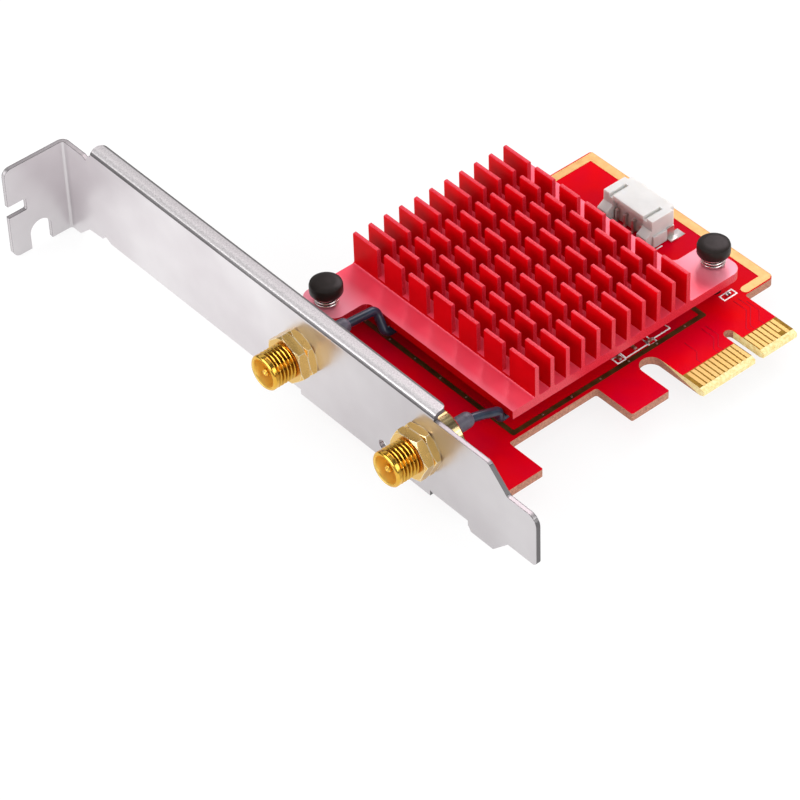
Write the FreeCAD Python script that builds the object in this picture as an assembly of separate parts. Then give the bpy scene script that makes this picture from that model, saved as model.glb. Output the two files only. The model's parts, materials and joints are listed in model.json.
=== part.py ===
import FreeCAD, Part
import math
import os
from FreeCAD import Vector

os.makedirs("parts", exist_ok=True)

# Frame: origin at the centre of the key notch, on the line of the card's gold edge and on the
# component face of the board. +X points out of the gold edge, the way the card is pushed in.
# +Y runs from the slot bracket to the far end of the board. +Z leaves the component face.
# All sizes are in millimetres.

# Board
board_thick = 1.57
near_reach = 57.0            # key centre to the board edge beside the bracket
board_length = 72.5          # board edge beside the bracket to the far edge
board_height = 57.0          # gold edge to the opposite edge
edge_setback = 12.15         # gold edge to the long lower edge of the board
near_section = 11.65         # gold section on the bracket side of the key
far_section = 7.65           # gold section beyond the key
key_width = 1.9
key_depth = 8.0
hook_slot_width = 4.05       # rounded slot between the gold section and the square tab
hook_width = 8.25            # square tab beside that slot
hook_setback = 3.75          # gold edge to the end of the square tab
near_tab_setback = 4.05      # gold edge to the end of the tab beside the bracket
near_tab_width = 13.1
bevel_run = 0.9
bevel_rise = 0.35

# Gold contacts on the card edge
contact_pitch = 1.0
contact_width = 0.7
contact_root = 4.8           # gold edge to the inner end of a contact
contact_short_gap = 1.0      # how much one contact stops short
copper_thick = 0.05

# Bare copper on the component face
border_width = 1.6
border_inset = 0.25
border_return = 6.3          # length of the strip that turns back at the lower corner
ring_width = 0.95
ring_side_gap = 10.95         # side of the module to the outer edge of the frame
ring_near_gap = 5.85          # screw end of the module to the outer edge of the frame
ring_far_gap = 1.75           # solder feet of the socket to the outer edge of the frame

# Slot bracket
sheet = 0.86
bracket_length = 120.02
bracket_width = 18.42
bracket_reach = 11.5         # gold edge to the end of the tongue
bracket_gap = 1.59           # board edge to the inner face of the bracket
bend_radius = 1.4
tab_depth = 12.4
tab_width = 18.9
tab_drop = 3.12              # how far the wide end stands below the long lower edge
tongue_width = 10.19
tongue_length = 6.6
tongue_corner = 2.0
foot_drop = 0.97             # how far the lower edge steps down beside the tongue
lip_depth = 2.85
lip_start = 8.6              # end of the bracket to the start of the long lip
lip_end = 23.6               # end of the tongue to the end of the long lip
screw_slot_width = 4.42
screw_slot_depth = 5.25
screw_slot_offset = 6.35     # outer face to the centre of the screw slot
end_notch_height = 2.5
end_notch_depth = 3.75
end_notch_drop = 7.6         # upper end of the tab to the notch
ear_width = 9.0
ear_depth = 8.4
ear_hole_offset = 5.15       # outer face to the screw in an ear
low_ear_x = -50.0
high_ear_x = -9.0

# Screws that hold the bracket to the board
bracket_screw_radius = 1.45
bracket_screw_head_radius = 2.6
bracket_screw_head_height = 1.7
bracket_screw_length = 3.3

# Antenna jacks
jack_spacing = 30.1
low_jack_x = -44.8
jack_height = 7.4            # axis above the component face
barrel_radius = 3.175
barrel_reach = 8.0           # outer face of the bracket to the mouth
held_radius = 2.85           # thread under the nuts, as deep as they bite
held_gap = 0.1               # front nut to the start of the free thread
mouth_bevel = 0.35
bore_radius = 2.3
bore_depth = 4.6
collar_radius = 4.7
collar_thick = 4.1
ferrule_radius = 1.0
ferrule_length = 1.8
contact_pin_radius = 0.64
pin_setback = 0.4
insulator_radius = 1.4
nut_flats = 8.0
nut_thick = 1.9
back_nut_thick = 1.5
nut_bevel = 0.3
low_nut_turn = 42.0
high_nut_turn = 65.0
thread_clearance = 0.05

# Heat sink
sink_centre_x = -34.8
sink_setback = 36.1          # board edge beside the bracket to the middle of the heat sink
sink_length = 44.6
sink_width = 43.6
plate_thick = 1.7
fin_rows = 11
fin_columns = 7
fin_pitch = 3.32
fin_thick = 0.8
fin_height = 6.4
fin_length = 4.4
fin_gap = 1.74
root_radius = 0.5
tip_radius = 0.25
stub_height = 0.55
ear_reach = 7.4
ear_span = 8.9
ear_corner = 2.2
ear_root = 1.4
pin_edge = 2.55              # outer edge of an ear to the axis of its pin

# Push pins and their springs
pin_shaft_radius = 1.4
pin_head_radius = 2.85
pin_head_height = 2.2
pin_head_round = 0.65
pin_tip_radius = 1.95
pin_tip_length = 2.5
pin_split = 0.7
pin_clearance = 0.15
barb_clearance = 0.05
spring_height = 2.35
spring_radius = 1.88
spring_wire = 0.2
spring_turns = 3.0
spring_end_gap = 0.02

# Radio module in its socket, under the heat sink
module_width = 22.0
module_length = 30.0
module_thick = 0.8
module_lift = 1.5
module_setback = 20.5        # board edge beside the bracket to the screw end of the module
module_notch_radius = 1.75
shield_length = 20.0
shield_width = 19.0
shield_height = 1.3
shield_wall = 0.2
shield_setback = 5.0
pad_thick = 0.5
pad_margin = 1.5
jack_side_offset = 8.3
jack_end_offset = 2.9
module_jack_side = 2.0
module_jack_foot = 0.2
module_jack_height = 0.8
plug_radius = 1.15
plug_height = 1.2
plug_wall = 0.3
plug_tail_length = 2.3
plug_tail_width = 2.0
socket_depth = 8.4
socket_height = 3.2
socket_overlap = 4.0
slot_clearance = 0.05
socket_lead_pitch = 0.5
socket_lead_width = 0.22
socket_lead_length = 0.9
socket_lead_height = 0.15
standoff_radius = 2.3
module_screw_radius = 0.95
module_screw_head = 2.2
module_screw_head_height = 0.6

# Antenna cables
cable_radius = 0.685
sleeve_wall = 0.33
sleeve_clearance = 0.02
sleeve_length = 7.3

# White header
header_centre_x = -37.3
header_setback = 62.6        # board edge beside the bracket to the header
header_width = 11.9
header_depth = 4.95
header_roof_reach = 0.95      # how far the middle of the roof stands out over the mouth
header_height = 5.5
header_lift = 0.1
header_wall = 1.0
header_pin_count = 4
header_pin_pitch = 2.0
header_pin_side = 0.5
header_pin_height = 2.6
header_recess_depth = 0.8
header_back_wall = 0.8
header_foot_width = 2.3
header_foot_reach = 1.45
header_foot_top = 3.4
header_foot_slope = 0.9
header_flare = 0.45
header_flare_height = 2.3
header_tab_length = 1.6
header_tab_reach = 1.3
header_tab_thick = 0.3
header_tab_height = 2.4
header_pin_reach = 1.6
header_flare_end = 1.8        # mouth to the end of the flare
header_groove_width = 0.8
header_groove_depth = 0.7
header_groove_length = 3.75

# Status light behind the bracket and small chips
light_x = -24.8
light_height = 0.6
light_hole_radius = 1.0
light_width = 1.6
light_depth = 0.8
light_body = 1.15

# Small parts
chip_length = 1.0
chip_width = 0.5
capacitor_height = 0.5
resistor_height = 0.35
chip_row_setback = 2.3       # end of the heat sink to the row of capacitors
chip_row_step = 0.3          # how far the outer two stand out of the row
first_chip_offset = 3.4      # middle of the heat sink to each capacitor
second_chip_offset = 7.0
third_chip_offset = 10.0
far_chip_side = 2.85         # far push pin to the resistor beside it
far_chip_step = 0.85
light_chip_side = 3.2        # status light to the resistor beside it
light_chip_setback = 1.6

# Values that follow from the sizes above
far_reach = board_length - near_reach
gold_low = -(key_width / 2 + near_section)
gold_high = key_width / 2 + far_section
sink_centre_y = sink_setback - near_reach
module_centre_x = sink_centre_x
module_end_y = module_setback - near_reach
header_near_y = header_setback - near_reach
face_in = -(near_reach + bracket_gap)
face_out = face_in - sheet
bracket_low = -(board_thick + sheet)
bracket_top = bracket_low + bracket_width
face_top = bracket_top - bend_radius
tab_x = bracket_reach - bracket_length
high_jack_x = low_jack_x + jack_spacing
module_top = module_lift + module_thick
plate_low = module_top + shield_height + pad_thick
plate_top = plate_low + plate_thick
socket_end_y = module_end_y + module_length - socket_overlap + socket_depth
sink_x0 = sink_centre_x - sink_length / 2
sink_x1 = sink_centre_x + sink_length / 2
sink_y0 = sink_centre_y - sink_width / 2
sink_y1 = sink_centre_y + sink_width / 2
pin_offset_x = (sink_length - ear_span) / 2
pin_offset_y = sink_width / 2 + ear_reach - pin_edge
low_pin = (sink_centre_x - pin_offset_x, sink_centre_y - pin_offset_y)
high_pin = (sink_centre_x + pin_offset_x, sink_centre_y + pin_offset_y)
ear_hole_y = face_out + ear_hole_offset
collar_end = face_in + collar_thick


def block(x0, x1, y0, y1, z0, z1):
    """A box between two corners."""
    return Part.makeBox(x1 - x0, y1 - y0, z1 - z0, Vector(x0, y0, z0))


def joined(shapes):
    """All the shapes made into one."""
    result = shapes[0]
    if len(shapes) > 1:
        result = result.fuse(shapes[1:])
    return result.removeSplitter()


def in_space(plane, u, v, level):
    """A point of a flat drawing put in space."""
    if plane == "xy":
        return Vector(u, v, level)
    if plane == "xz":
        return Vector(u, level, v)
    return Vector(level, u, v)


def corner_points(before, corner, after, radius):
    """Start, middle and end of the arc that rounds one corner of a drawing."""
    to_before = Vector(before[0] - corner[0], before[1] - corner[1], 0)
    to_after = Vector(after[0] - corner[0], after[1] - corner[1], 0)
    to_before.normalize()
    to_after.normalize()
    half = to_before.getAngle(to_after) / 2
    reach = radius / math.tan(half)
    middle_way = to_before + to_after
    middle_way.normalize()
    away = radius / math.sin(half) - radius
    place = Vector(corner[0], corner[1], 0)
    return (place + to_before * reach, place + middle_way * away, place + to_after * reach)


def outline(plane, level, corners):
    """A closed wire through corners (u, v, radius), each rounded by its radius."""
    count = len(corners)
    stations = []
    for i in range(count):
        here = corners[i]
        if here[2] > 0:
            stations.append(corner_points(corners[i - 1], here, corners[(i + 1) % count], here[2]))
        else:
            stations.append((Vector(here[0], here[1], 0),))
    edges = []
    for i in range(count):
        now = stations[i]
        if len(now) == 3:
            arc = [in_space(plane, p.x, p.y, level) for p in now]
            edges.append(Part.Arc(arc[0], arc[1], arc[2]).toShape())
        a = now[-1]
        b = stations[(i + 1) % count][0]
        if a.distanceToPoint(b) > 1e-6:
            start = in_space(plane, a.x, a.y, level)
            edges.append(Part.makeLine(start, in_space(plane, b.x, b.y, level)))
    return Part.Wire(edges)


def slab(plane, level, thickness, corners):
    """A flat piece: the outline made solid along the axis across its plane."""
    way = {"xy": Vector(0, 0, 1), "xz": Vector(0, 1, 0), "yz": Vector(1, 0, 0)}[plane]
    return Part.Face(outline(plane, level, corners)).extrude(way * thickness)


def rectangle(u0, u1, v0, v1, radius=0.0):
    """Corner list of a rectangle."""
    return [(u0, v0, radius), (u1, v0, radius), (u1, v1, radius), (u0, v1, radius)]


def turned(profile, foot, direction):
    """A solid of revolution from (radius, distance) points, with its axis along direction."""
    points = [Vector(r, 0, s) for r, s in profile]
    face = Part.Face(Part.makePolygon(points + [points[0]]))
    solid = face.revolve(Vector(0, 0, 0), Vector(0, 0, 1), 360)
    turn = FreeCAD.Rotation(Vector(0, 0, 1), direction)
    solid.Placement = FreeCAD.Placement(foot, turn)
    return solid


def rod(foot, direction, radius, length):
    """A plain round bar."""
    return Part.makeCylinder(radius, length, foot, direction)


def save(name, shape):
    """Writes one piece of the card."""
    shape.exportStep("parts/" + name + ".step")


def board_outline():
    """The edge of the board, seen from above."""
    low_y = -near_reach
    hook_high = gold_low - hook_slot_width
    hook_low = hook_high - hook_width
    key = key_width / 2
    slot_round = hook_slot_width / 2 - 0.001
    key_round = key - 0.001
    return [
        (-board_height, low_y, 0.5),
        (-near_tab_setback, low_y, 0.5),
        (-near_tab_setback, low_y + near_tab_width, 0.3),
        (-edge_setback, low_y + near_tab_width, 0.5),
        (-edge_setback, hook_low, 0.5),
        (-hook_setback, hook_low, 0.3),
        (-hook_setback, hook_high, 0.3),
        (-edge_setback, hook_high, slot_round),
        (-edge_setback, gold_low, slot_round),
        (0, gold_low, 0),
        (0, -key, 0),
        (-key_depth, -key, key_round),
        (-key_depth, key, key_round),
        (0, key, 0),
        (0, gold_high, 0),
        (-edge_setback, gold_high, 0.5),
        (-edge_setback, far_reach, 1.2),
        (-board_height, far_reach, 0.5),
    ]


def edge_bevels():
    """The two long wedges taken off the gold edge."""
    wedges = []
    for low, high in ((0, -1), (-board_thick, 1)):
        foot = low + high * bevel_rise
        corners = [(-bevel_run, low, 0), (1, low, 0), (1, foot + high * 0.4, 0), (0, foot, 0)]
        wedges.append(slab("xz", gold_low - 1, gold_high - gold_low + 2, corners))
    return wedges


def make_board():
    """The bare board with its outline, bevelled edge and drilled holes."""
    board = slab("xy", -board_thick, board_thick, board_outline())
    down = Vector(0, 0, -1)
    cuts = edge_bevels()
    for x, y in (low_pin, high_pin):
        cuts.append(rod(Vector(x, y, 1), down, pin_shaft_radius + pin_clearance, board_thick + 2))
    for x in (low_ear_x, high_ear_x):
        hole = bracket_screw_radius + pin_clearance
        cuts.append(rod(Vector(x, ear_hole_y, 1), down, hole, board_thick + 2))
    return board.cut(cuts)


def contact_positions():
    """Y of every contact: those on the bracket side, then those beyond the key."""
    near = []
    count = int(round(near_section - 0.65))
    for i in range(count):
        near.append(-key_width / 2 - 0.55 - i * contact_pitch)
    far = []
    count = int(round(far_section - 0.65))
    for i in range(count):
        far.append(key_width / 2 + 0.55 + i * contact_pitch)
    return near, far


def make_contacts(level):
    """A row of gold contacts as one group, on one face of the board."""
    near, far = contact_positions()
    strips = []
    for y in near + far:
        end = -bevel_run
        if y == far[-2]:
            end -= contact_short_gap
        half = contact_width / 2
        strips.append(block(-contact_root, end, y - half, y + half, level, level + copper_thick))
    return Part.makeCompound(strips)


def make_border():
    """Bare copper along the top and far edges, turning back at the lower corner."""
    x0 = -board_height + border_inset
    x1 = -edge_setback - border_inset
    y1 = far_reach - border_inset
    y0 = y1 - border_width
    cap = border_width / 2 - 0.001
    top_end = sink_y1 + 2.0
    corners = [
        (x0, top_end, 0),
        (x0 + border_width, top_end, 0),
        (x0 + border_width, y0, 0),
        (x1 - border_width, y0, 0),
        (x1 - border_width, y1 - border_return, cap),
        (x1, y1 - border_return, cap),
        (x1, y1, 0.8),
        (x0, y1, 0.3),
    ]
    return slab("xy", 0, copper_thick, corners)


def make_ring():
    """Bare copper frame around the module, under the rim of the heat sink."""
    half = module_width / 2 + ring_side_gap
    x0 = module_centre_x - half
    x1 = module_centre_x + half
    y0 = module_end_y - ring_near_gap
    y1 = socket_end_y + socket_lead_length + ring_far_gap
    w = ring_width
    outer = slab("xy", 0, copper_thick, rectangle(x0, x1, y0, y1, 0.4))
    inner = slab("xy", -1, 2, rectangle(x0 + w, x1 - w, y0 + w, y1 - w, 0.2))
    return outer.cut(inner)


def ear_spans():
    """The two stretches of the lower edge that are folded under the board."""
    half = ear_width / 2
    return ((low_ear_x - half, low_ear_x + half), (high_ear_x - half, high_ear_x + half))


def face_outline():
    """The bracket's long face, seen from outside, with room left for the folded ears."""
    x0 = tab_x
    wide_low = bracket_low - tab_drop
    wide_top = wide_low + tab_width
    end = bracket_reach
    neck = end - tongue_length
    step = neck - 8.8
    tongue_top = face_top - 4.2
    tongue_low = tongue_top - tongue_width
    foot = bracket_low - foot_drop
    corners = [
        (x0, wide_low, 0),
        (x0 + 3.3, wide_low, 0.8),
        (x0 + 6.2, bracket_low - 0.45, 0.8),
        (x0 + 10.0, bracket_low - 0.2, 0.2),
        (x0 + 10.6, bracket_low + 0.9, 0.3),
        (x0 + 12.4, bracket_low, 0.4),
        (step - 0.5, bracket_low, 0.3),
        (step + 0.1, foot, 0.3),
        (neck - 3.5, foot, 0.3),
        (neck, tongue_low, 0.3),
        (end, tongue_low, 1.0),
        (end, tongue_top, tongue_corner),
        (neck, tongue_top, 0.8),
        (neck - 4.4, face_top, 1.5),
        (x0 + lip_start - 0.4, face_top, 0.3),
        (x0 + lip_start - 1.4, wide_top - 0.5, 0.3),
        (x0 + lip_start - 2.4, wide_top, 0.3),
        (x0, wide_top, 0),
    ]
    return corners


def folded_sheet():
    """Face and tab as one folded L, still uncut along its outline."""
    far = tab_x + sheet
    end = face_out - tab_depth
    corners = [
        (tab_x, end, 0),
        (far, end, 0),
        (far, face_out, bend_radius - sheet),
        (bracket_reach + 1, face_out, 0),
        (bracket_reach + 1, face_in, 0),
        (tab_x, face_in, bend_radius),
    ]
    return slab("xy", bracket_low - tab_drop - 1, bracket_width + tab_drop + 2, corners)


def lip_profile(outer_z, side, reach):
    """Section of a lip folded off the face: side is 1 for the top and -1 for the bottom."""
    inner_z = outer_z - side * sheet
    root = outer_z - side * bend_radius
    return [
        (face_out, root, 0),
        (face_out, outer_z, bend_radius),
        (reach, outer_z, 0),
        (reach, inner_z, 0),
        (face_in, inner_z, bend_radius - sheet),
        (face_in, root, 0),
    ]


def make_lip(x0, x1, outer_z, side, reach, corner):
    """A folded lip between two x values, its free corners rounded in plan."""
    lip = slab("yz", x0, x1 - x0, lip_profile(outer_z, side, reach))
    deep = face_out - 5
    plan = [(x0, deep, 0), (x1, deep, 0), (x1, reach, corner), (x0, reach, corner)]
    return lip.common(slab("xy", bracket_low - 10, bracket_width + 20, plan))


def tab_cuts():
    """Screw slot, end notch and rounded corners of the tab."""
    x = tab_x - 1
    t = sheet + 2
    low = bracket_low - tab_drop
    top = low + tab_width
    end = face_out - tab_depth
    middle = face_out - screw_slot_offset
    half = screw_slot_width / 2
    bottom = low + screw_slot_depth
    slot = [
        (middle - half, low - 3, 0),
        (middle + half, low - 3, 0),
        (middle + half, bottom, half - 0.001),
        (middle - half, bottom, half - 0.001),
    ]
    notch_top = top - end_notch_drop
    notch_low = notch_top - end_notch_height
    notch = rectangle(end - 1, end + end_notch_depth, notch_low, notch_top, 0.3)
    cuts = [slab("yz", x, t, slot), slab("yz", x, t, notch)]
    for z, side in ((top, 1), (low, -1)):
        keep = [(end - 2, z + side, 0), (end + 2, z + side, 0), (end + 2, z, 0)]
        keep += [(end, z, 1.5), (end, z - side * 2, 0), (end - 2, z - side * 2, 0)]
        cuts.append(slab("yz", x, t, keep))
    return cuts


def make_bracket():
    """The folded slot bracket: face, tab, tongue, long lip and two board ears."""
    depth = tab_depth + sheet + 2
    plan = slab("xz", face_out - tab_depth - 1, depth, face_outline())
    sheet_part = folded_sheet().common(plan)
    cuts = tab_cuts()
    back = Vector(0, 1, 0)
    for x in (low_jack_x, high_jack_x):
        hole = barrel_radius + 0.1
        cuts.append(rod(Vector(x, face_out - 1, jack_height), back, hole, 3))
    cuts.append(rod(Vector(light_x, face_out - 1, light_height), back, light_hole_radius, 3))
    root = bracket_low + bend_radius
    for x0, x1 in ear_spans():
        cuts.append(block(x0, x1, face_out - 1, face_in + 1, bracket_low - 1, root))
    sheet_part = sheet_part.cut(cuts)
    lips = [make_lip(tab_x + lip_start, bracket_reach - lip_end, bracket_top, 1,
                     face_out + lip_depth, 1.2)]
    for x0, x1 in ear_spans():
        lips.append(make_lip(x0, x1, bracket_low, -1, face_out + ear_depth, 1.5))
    whole = joined([sheet_part] + lips)
    holes = []
    for x in (low_ear_x, high_ear_x):
        foot = Vector(x, ear_hole_y, bracket_low - 1)
        holes.append(rod(foot, Vector(0, 0, 1), bracket_screw_radius + thread_clearance, 3))
    return whole.cut(holes)


def make_bracket_screws():
    """Two pan head screws down through the board into the bracket's ears."""
    r = bracket_screw_head_radius
    h = bracket_screw_head_height
    profile = [(0, -bracket_screw_length), (bracket_screw_radius - 0.3, -bracket_screw_length)]
    profile += [(bracket_screw_radius, -bracket_screw_length + 0.4), (bracket_screw_radius, 0)]
    profile += [(r, 0), (r, h * 0.45), (r * 0.86, h * 0.8), (r * 0.55, h), (0, h)]
    screws = []
    for x in (low_ear_x, high_ear_x):
        screw = turned(profile, Vector(x, ear_hole_y, 0), Vector(0, 0, 1))
        arms = [block(x - 1.3, x + 1.3, ear_hole_y - 0.3, ear_hole_y + 0.3, h - 0.8, h + 1)]
        arms.append(block(x - 0.3, x + 0.3, ear_hole_y - 1.3, ear_hole_y + 1.3, h - 0.8, h + 1))
        screws.append(screw.cut(arms))
    return Part.makeCompound(screws)


def jack_foot(x):
    """Where a jack's axis crosses the outer face of the bracket."""
    return Vector(x, face_out, jack_height)


def make_jack(x):
    """Body of one jack: barrel with open mouth, collar behind the bracket, crimp ferrule."""
    mouth = barrel_reach
    free = back_nut_thick + nut_thick + held_gap
    back = -sheet
    collar = -sheet - collar_thick
    tail = collar - ferrule_length
    lip = bore_radius + 0.35
    profile = [
        (insulator_radius, mouth - bore_depth),
        (bore_radius, mouth - bore_depth),
        (bore_radius, mouth - 0.25),
        (lip, mouth),
        (barrel_radius - mouth_bevel, mouth),
        (barrel_radius, mouth - mouth_bevel),
        (barrel_radius, free),
        (held_radius, free),
        (held_radius, back),
        (collar_radius - 0.2, back),
        (collar_radius, back - 0.2),
        (collar_radius, collar + 0.3),
        (collar_radius - 0.3, collar),
        (ferrule_radius, collar),
        (ferrule_radius, tail),
        (cable_radius + sleeve_clearance, tail),
        (cable_radius + sleeve_clearance, collar),
        (insulator_radius, collar),
    ]
    return turned(profile, jack_foot(x), Vector(0, -1, 0))


def make_jack_insulator(x):
    """Insulating sleeve around the centre pin."""
    top = barrel_reach - bore_depth
    low = -sheet - collar_thick
    inner = contact_pin_radius
    profile = [(inner, low), (insulator_radius, low), (insulator_radius, top), (inner, top)]
    return turned(profile, jack_foot(x), Vector(0, -1, 0))


def make_jack_pin(x):
    """Centre pin of one jack, its tip a little inside the mouth."""
    r = contact_pin_radius
    tip = barrel_reach - pin_setback
    low = -sheet - collar_thick
    profile = [(0, low), (r, low), (r, tip - 0.2), (r - 0.15, tip), (0.25, tip), (0, tip - 0.3)]
    return turned(profile, jack_foot(x), Vector(0, -1, 0))


def hex_nut(x, start, thickness, angle):
    """A bevelled hexagon nut on the barrel, from start to start + thickness off the face."""
    corner = nut_flats / math.sqrt(3)
    points = []
    for i in range(6):
        turn = math.radians(angle + 60 * i)
        points.append((x + corner * math.cos(turn), jack_height + corner * math.sin(turn), 0))
    solid = slab("xz", face_out - start - thickness, thickness, points)
    flat = nut_flats / 2
    rim = corner + 0.1
    slope = (rim - flat) * 0.58
    profile = [(0, start), (flat + 0.1, start), (rim, start + slope)]
    profile += [(rim, start + thickness - slope), (flat + 0.1, start + thickness)]
    profile += [(0, start + thickness)]
    solid = solid.common(turned(profile, jack_foot(x), Vector(0, -1, 0)))
    hole = rod(Vector(x, face_out, jack_height), Vector(0, -1, 0),
               held_radius + thread_clearance, start + thickness + 1)
    return solid.cut(hole)


def fin_section():
    """Section of the finned plate across its fins: a row of rounded fins on a plate."""
    top = plate_top + fin_height
    corners = [(sink_y0, plate_low, 0.15), (sink_y1, plate_low, 0.15), (sink_y1, plate_top, 0.2)]
    half = fin_thick / 2
    for i in range(fin_rows):
        y = sink_centre_y + fin_pitch * ((fin_rows - 1) / 2 - i)
        corners.append((y + half, plate_top, root_radius))
        corners.append((y + half, top, tip_radius))
        corners.append((y - half, top, tip_radius))
        corners.append((y - half, plate_top, root_radius))
    corners.append((sink_y0, plate_top, 0.2))
    return corners


def end_fin_length():
    """Length of the fins of the first and last column."""
    inner = (fin_columns - 2) * fin_length + (fin_columns - 1) * fin_gap
    return (sink_length - inner) / 2


def cross_slots():
    """Saw cuts across the fins, a little shallower than the channels between them."""
    cuts = []
    floor = plate_top + stub_height
    x = sink_x0 + end_fin_length()
    first = sink_centre_y - fin_pitch * (fin_rows - 1) / 2 - fin_pitch / 2
    last = sink_centre_y + fin_pitch * (fin_rows - 1) / 2 + fin_pitch / 2
    for i in range(fin_columns - 1):
        cuts.append(block(x, x + fin_gap, first, last, floor, floor + fin_height + 1))
        x += fin_gap + fin_length
    return cuts


def sink_ears():
    """The two ears, one at each end of a diagonal, as flat pieces of the plate."""
    ears = []
    for side in (-1, 1):
        outer_x = sink_centre_x + side * sink_length / 2
        inner_x = outer_x - side * ear_span
        rim = sink_centre_y + side * sink_width / 2
        outer_y = rim + side * ear_reach
        inside = rim - side * 2
        corners = [
            (outer_x, inside, 0),
            (outer_x, outer_y, ear_corner),
            (inner_x, outer_y, ear_corner),
            (inner_x, rim, ear_root),
            (inner_x - side * 2.5, rim, 0),
            (inner_x - side * 2.5, inside, 0),
        ]
        ears.append(slab("xy", plate_low, plate_thick, corners))
    return ears


def make_heat_sink():
    """Extruded finned plate, sawn across, with two holed ears."""
    finned = slab("yz", sink_x0, sink_length, fin_section())
    finned = finned.cut(cross_slots())
    whole = joined([finned] + sink_ears())
    holes = []
    for x, y in (low_pin, high_pin):
        foot = Vector(x, y, plate_low - 1)
        holes.append(rod(foot, Vector(0, 0, 1), pin_shaft_radius + pin_clearance, plate_thick + 2))
    return whole.cut(holes)


def make_push_pin(place):
    """One push pin: domed head, shaft, and a split barbed tip below the board."""
    x, y = place
    low = plate_top + spring_height
    top = low + pin_head_height
    r = pin_head_radius
    catch = -board_thick - barb_clearance
    tip = catch - pin_tip_length
    shaft = pin_shaft_radius
    profile = [
        (0, tip),
        (0.8, tip),
        (pin_tip_radius, catch - 0.5),
        (pin_tip_radius, catch),
        (shaft - 0.35, catch),
        (shaft - 0.35, catch + 0.4),
        (shaft, catch + 0.8),
        (shaft, low),
        (r - 0.1, low),
        (r, low + 0.15),
        (r, top - pin_head_round - 0.15),
        (r - 0.13, top - pin_head_round * 0.6),
        (r - 0.42, top - 0.22),
        (r - 0.9, top - 0.09),
        (0, top),
    ]
    pin = turned(profile, Vector(x, y, 0), Vector(0, 0, 1))
    half = pin_split / 2
    split = block(x - half, x + half, y - 3, y + 3, tip - 1, -0.3)
    return pin.cut(split)


def wire_section(x, y, z):
    """Section of the spring wire, eight-sided, standing across the wire at x, y, z."""
    points = []
    for i in range(8):
        turn = math.radians(22.5 + 45 * i)
        points.append(Vector(x + spring_wire * math.cos(turn), y, z + spring_wire * math.sin(turn)))
    return Part.Face(Part.makePolygon(points + points[:1]))


def make_spring(place):
    """Wire wound between the plate and the pin head, as tilted half turns that meet."""
    x, y = place
    rise = (spring_height - 2 * spring_wire - 2 * spring_end_gap) / (2 * spring_turns)
    low = plate_top + spring_end_gap + spring_wire
    tilt = math.atan2(rise / 2, spring_radius)
    turns = []
    for i in range(int(2 * spring_turns)):
        side = 1 if i % 2 == 0 else -1
        z = low + i * rise
        axis = Vector(side * math.sin(tilt), 0, math.cos(tilt))
        section = wire_section(x + side * spring_radius, y, z)
        turns.append(section.revolve(Vector(x, y, z + rise / 2), axis, 180))
    return joined(turns)


def make_module_board():
    """The radio module's own board with its screw notch."""
    half = module_width / 2
    y0 = module_end_y
    y1 = y0 + module_length
    corners = rectangle(module_centre_x - half, module_centre_x + half, y0, y1, 0.4)
    board = slab("xy", module_lift, module_thick, corners)
    foot = Vector(module_centre_x, y0, module_lift - 1)
    board = board.cut(rod(foot, Vector(0, 0, 1), module_notch_radius, module_thick + 2))
    key_x = module_centre_x + half - 4.5
    key = rectangle(key_x - 0.6, key_x + 0.6, y1 - 3.5, y1 + 1, 0.3)
    return board.cut(slab("xy", module_lift - 1, module_thick + 2, key))


def shield_corners(margin):
    """Plan of the shield can, drawn in by a margin."""
    half = shield_width / 2 - margin
    y0 = module_end_y + shield_setback + margin
    y1 = module_end_y + shield_setback + shield_length - margin
    return rectangle(module_centre_x - half, module_centre_x + half, y0, y1, 0.5)


def make_shield():
    """Thin metal can over the module's chips."""
    outer = slab("xy", module_top, shield_height, shield_corners(0))
    inner = slab("xy", module_top - 1, shield_height + 1 - shield_wall, shield_corners(shield_wall))
    return outer.cut(inner)


def make_thermal_pad():
    """Soft pad between the can and the heat sink."""
    low = module_top + shield_height
    return slab("xy", low, pad_thick, shield_corners(pad_margin))


def module_jack_places():
    """Centres of the two tiny coaxial jacks on the module."""
    y = module_end_y + jack_end_offset
    return ((module_centre_x - jack_side_offset, y), (module_centre_x + jack_side_offset, y))


def make_module_jacks():
    """Both tiny jacks: a square foot with a short round post."""
    jacks = []
    for x, y in module_jack_places():
        half = module_jack_side / 2
        foot = block(x - half, x + half, y - half, y + half, module_top,
                     module_top + module_jack_foot)
        post = rod(Vector(x, y, module_top), Vector(0, 0, 1), plug_radius - plug_wall - 0.05,
                   module_jack_height)
        jacks.append(foot.fuse(post).removeSplitter())
    return Part.makeCompound(jacks)


def cable_level():
    """Height of the cable's centre where it enters its plug."""
    return module_top + cable_radius + 0.06


def make_plug(place):
    """Round cap that snaps over a module jack, with the crimp that holds the cable."""
    x, y = place
    low = module_top + 0.23
    top = low + plug_height
    up = Vector(0, 0, 1)
    cap = rod(Vector(x, y, low), up, plug_radius, plug_height)
    tail_low = module_top + 0.03
    tail_top = cable_level() + cable_radius + 0.1
    half = plug_tail_width / 2
    start = y - plug_radius - plug_tail_length
    tail = block(x - half, x + half, start, y - plug_radius + 0.2, low, tail_top)
    crimp = block(x - half, x + half, start, y - plug_radius - 0.15, tail_low, tail_top)
    body = joined([cap, tail, crimp])
    hollow = rod(Vector(x, y, low - 1), up, plug_radius - plug_wall, plug_height + 1 - plug_wall)
    hole = rod(Vector(x, start - 1, cable_level()), Vector(0, 1, 0),
               cable_radius + sleeve_clearance, plug_tail_length + 0.9)
    return body.cut([hollow, hole])


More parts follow.
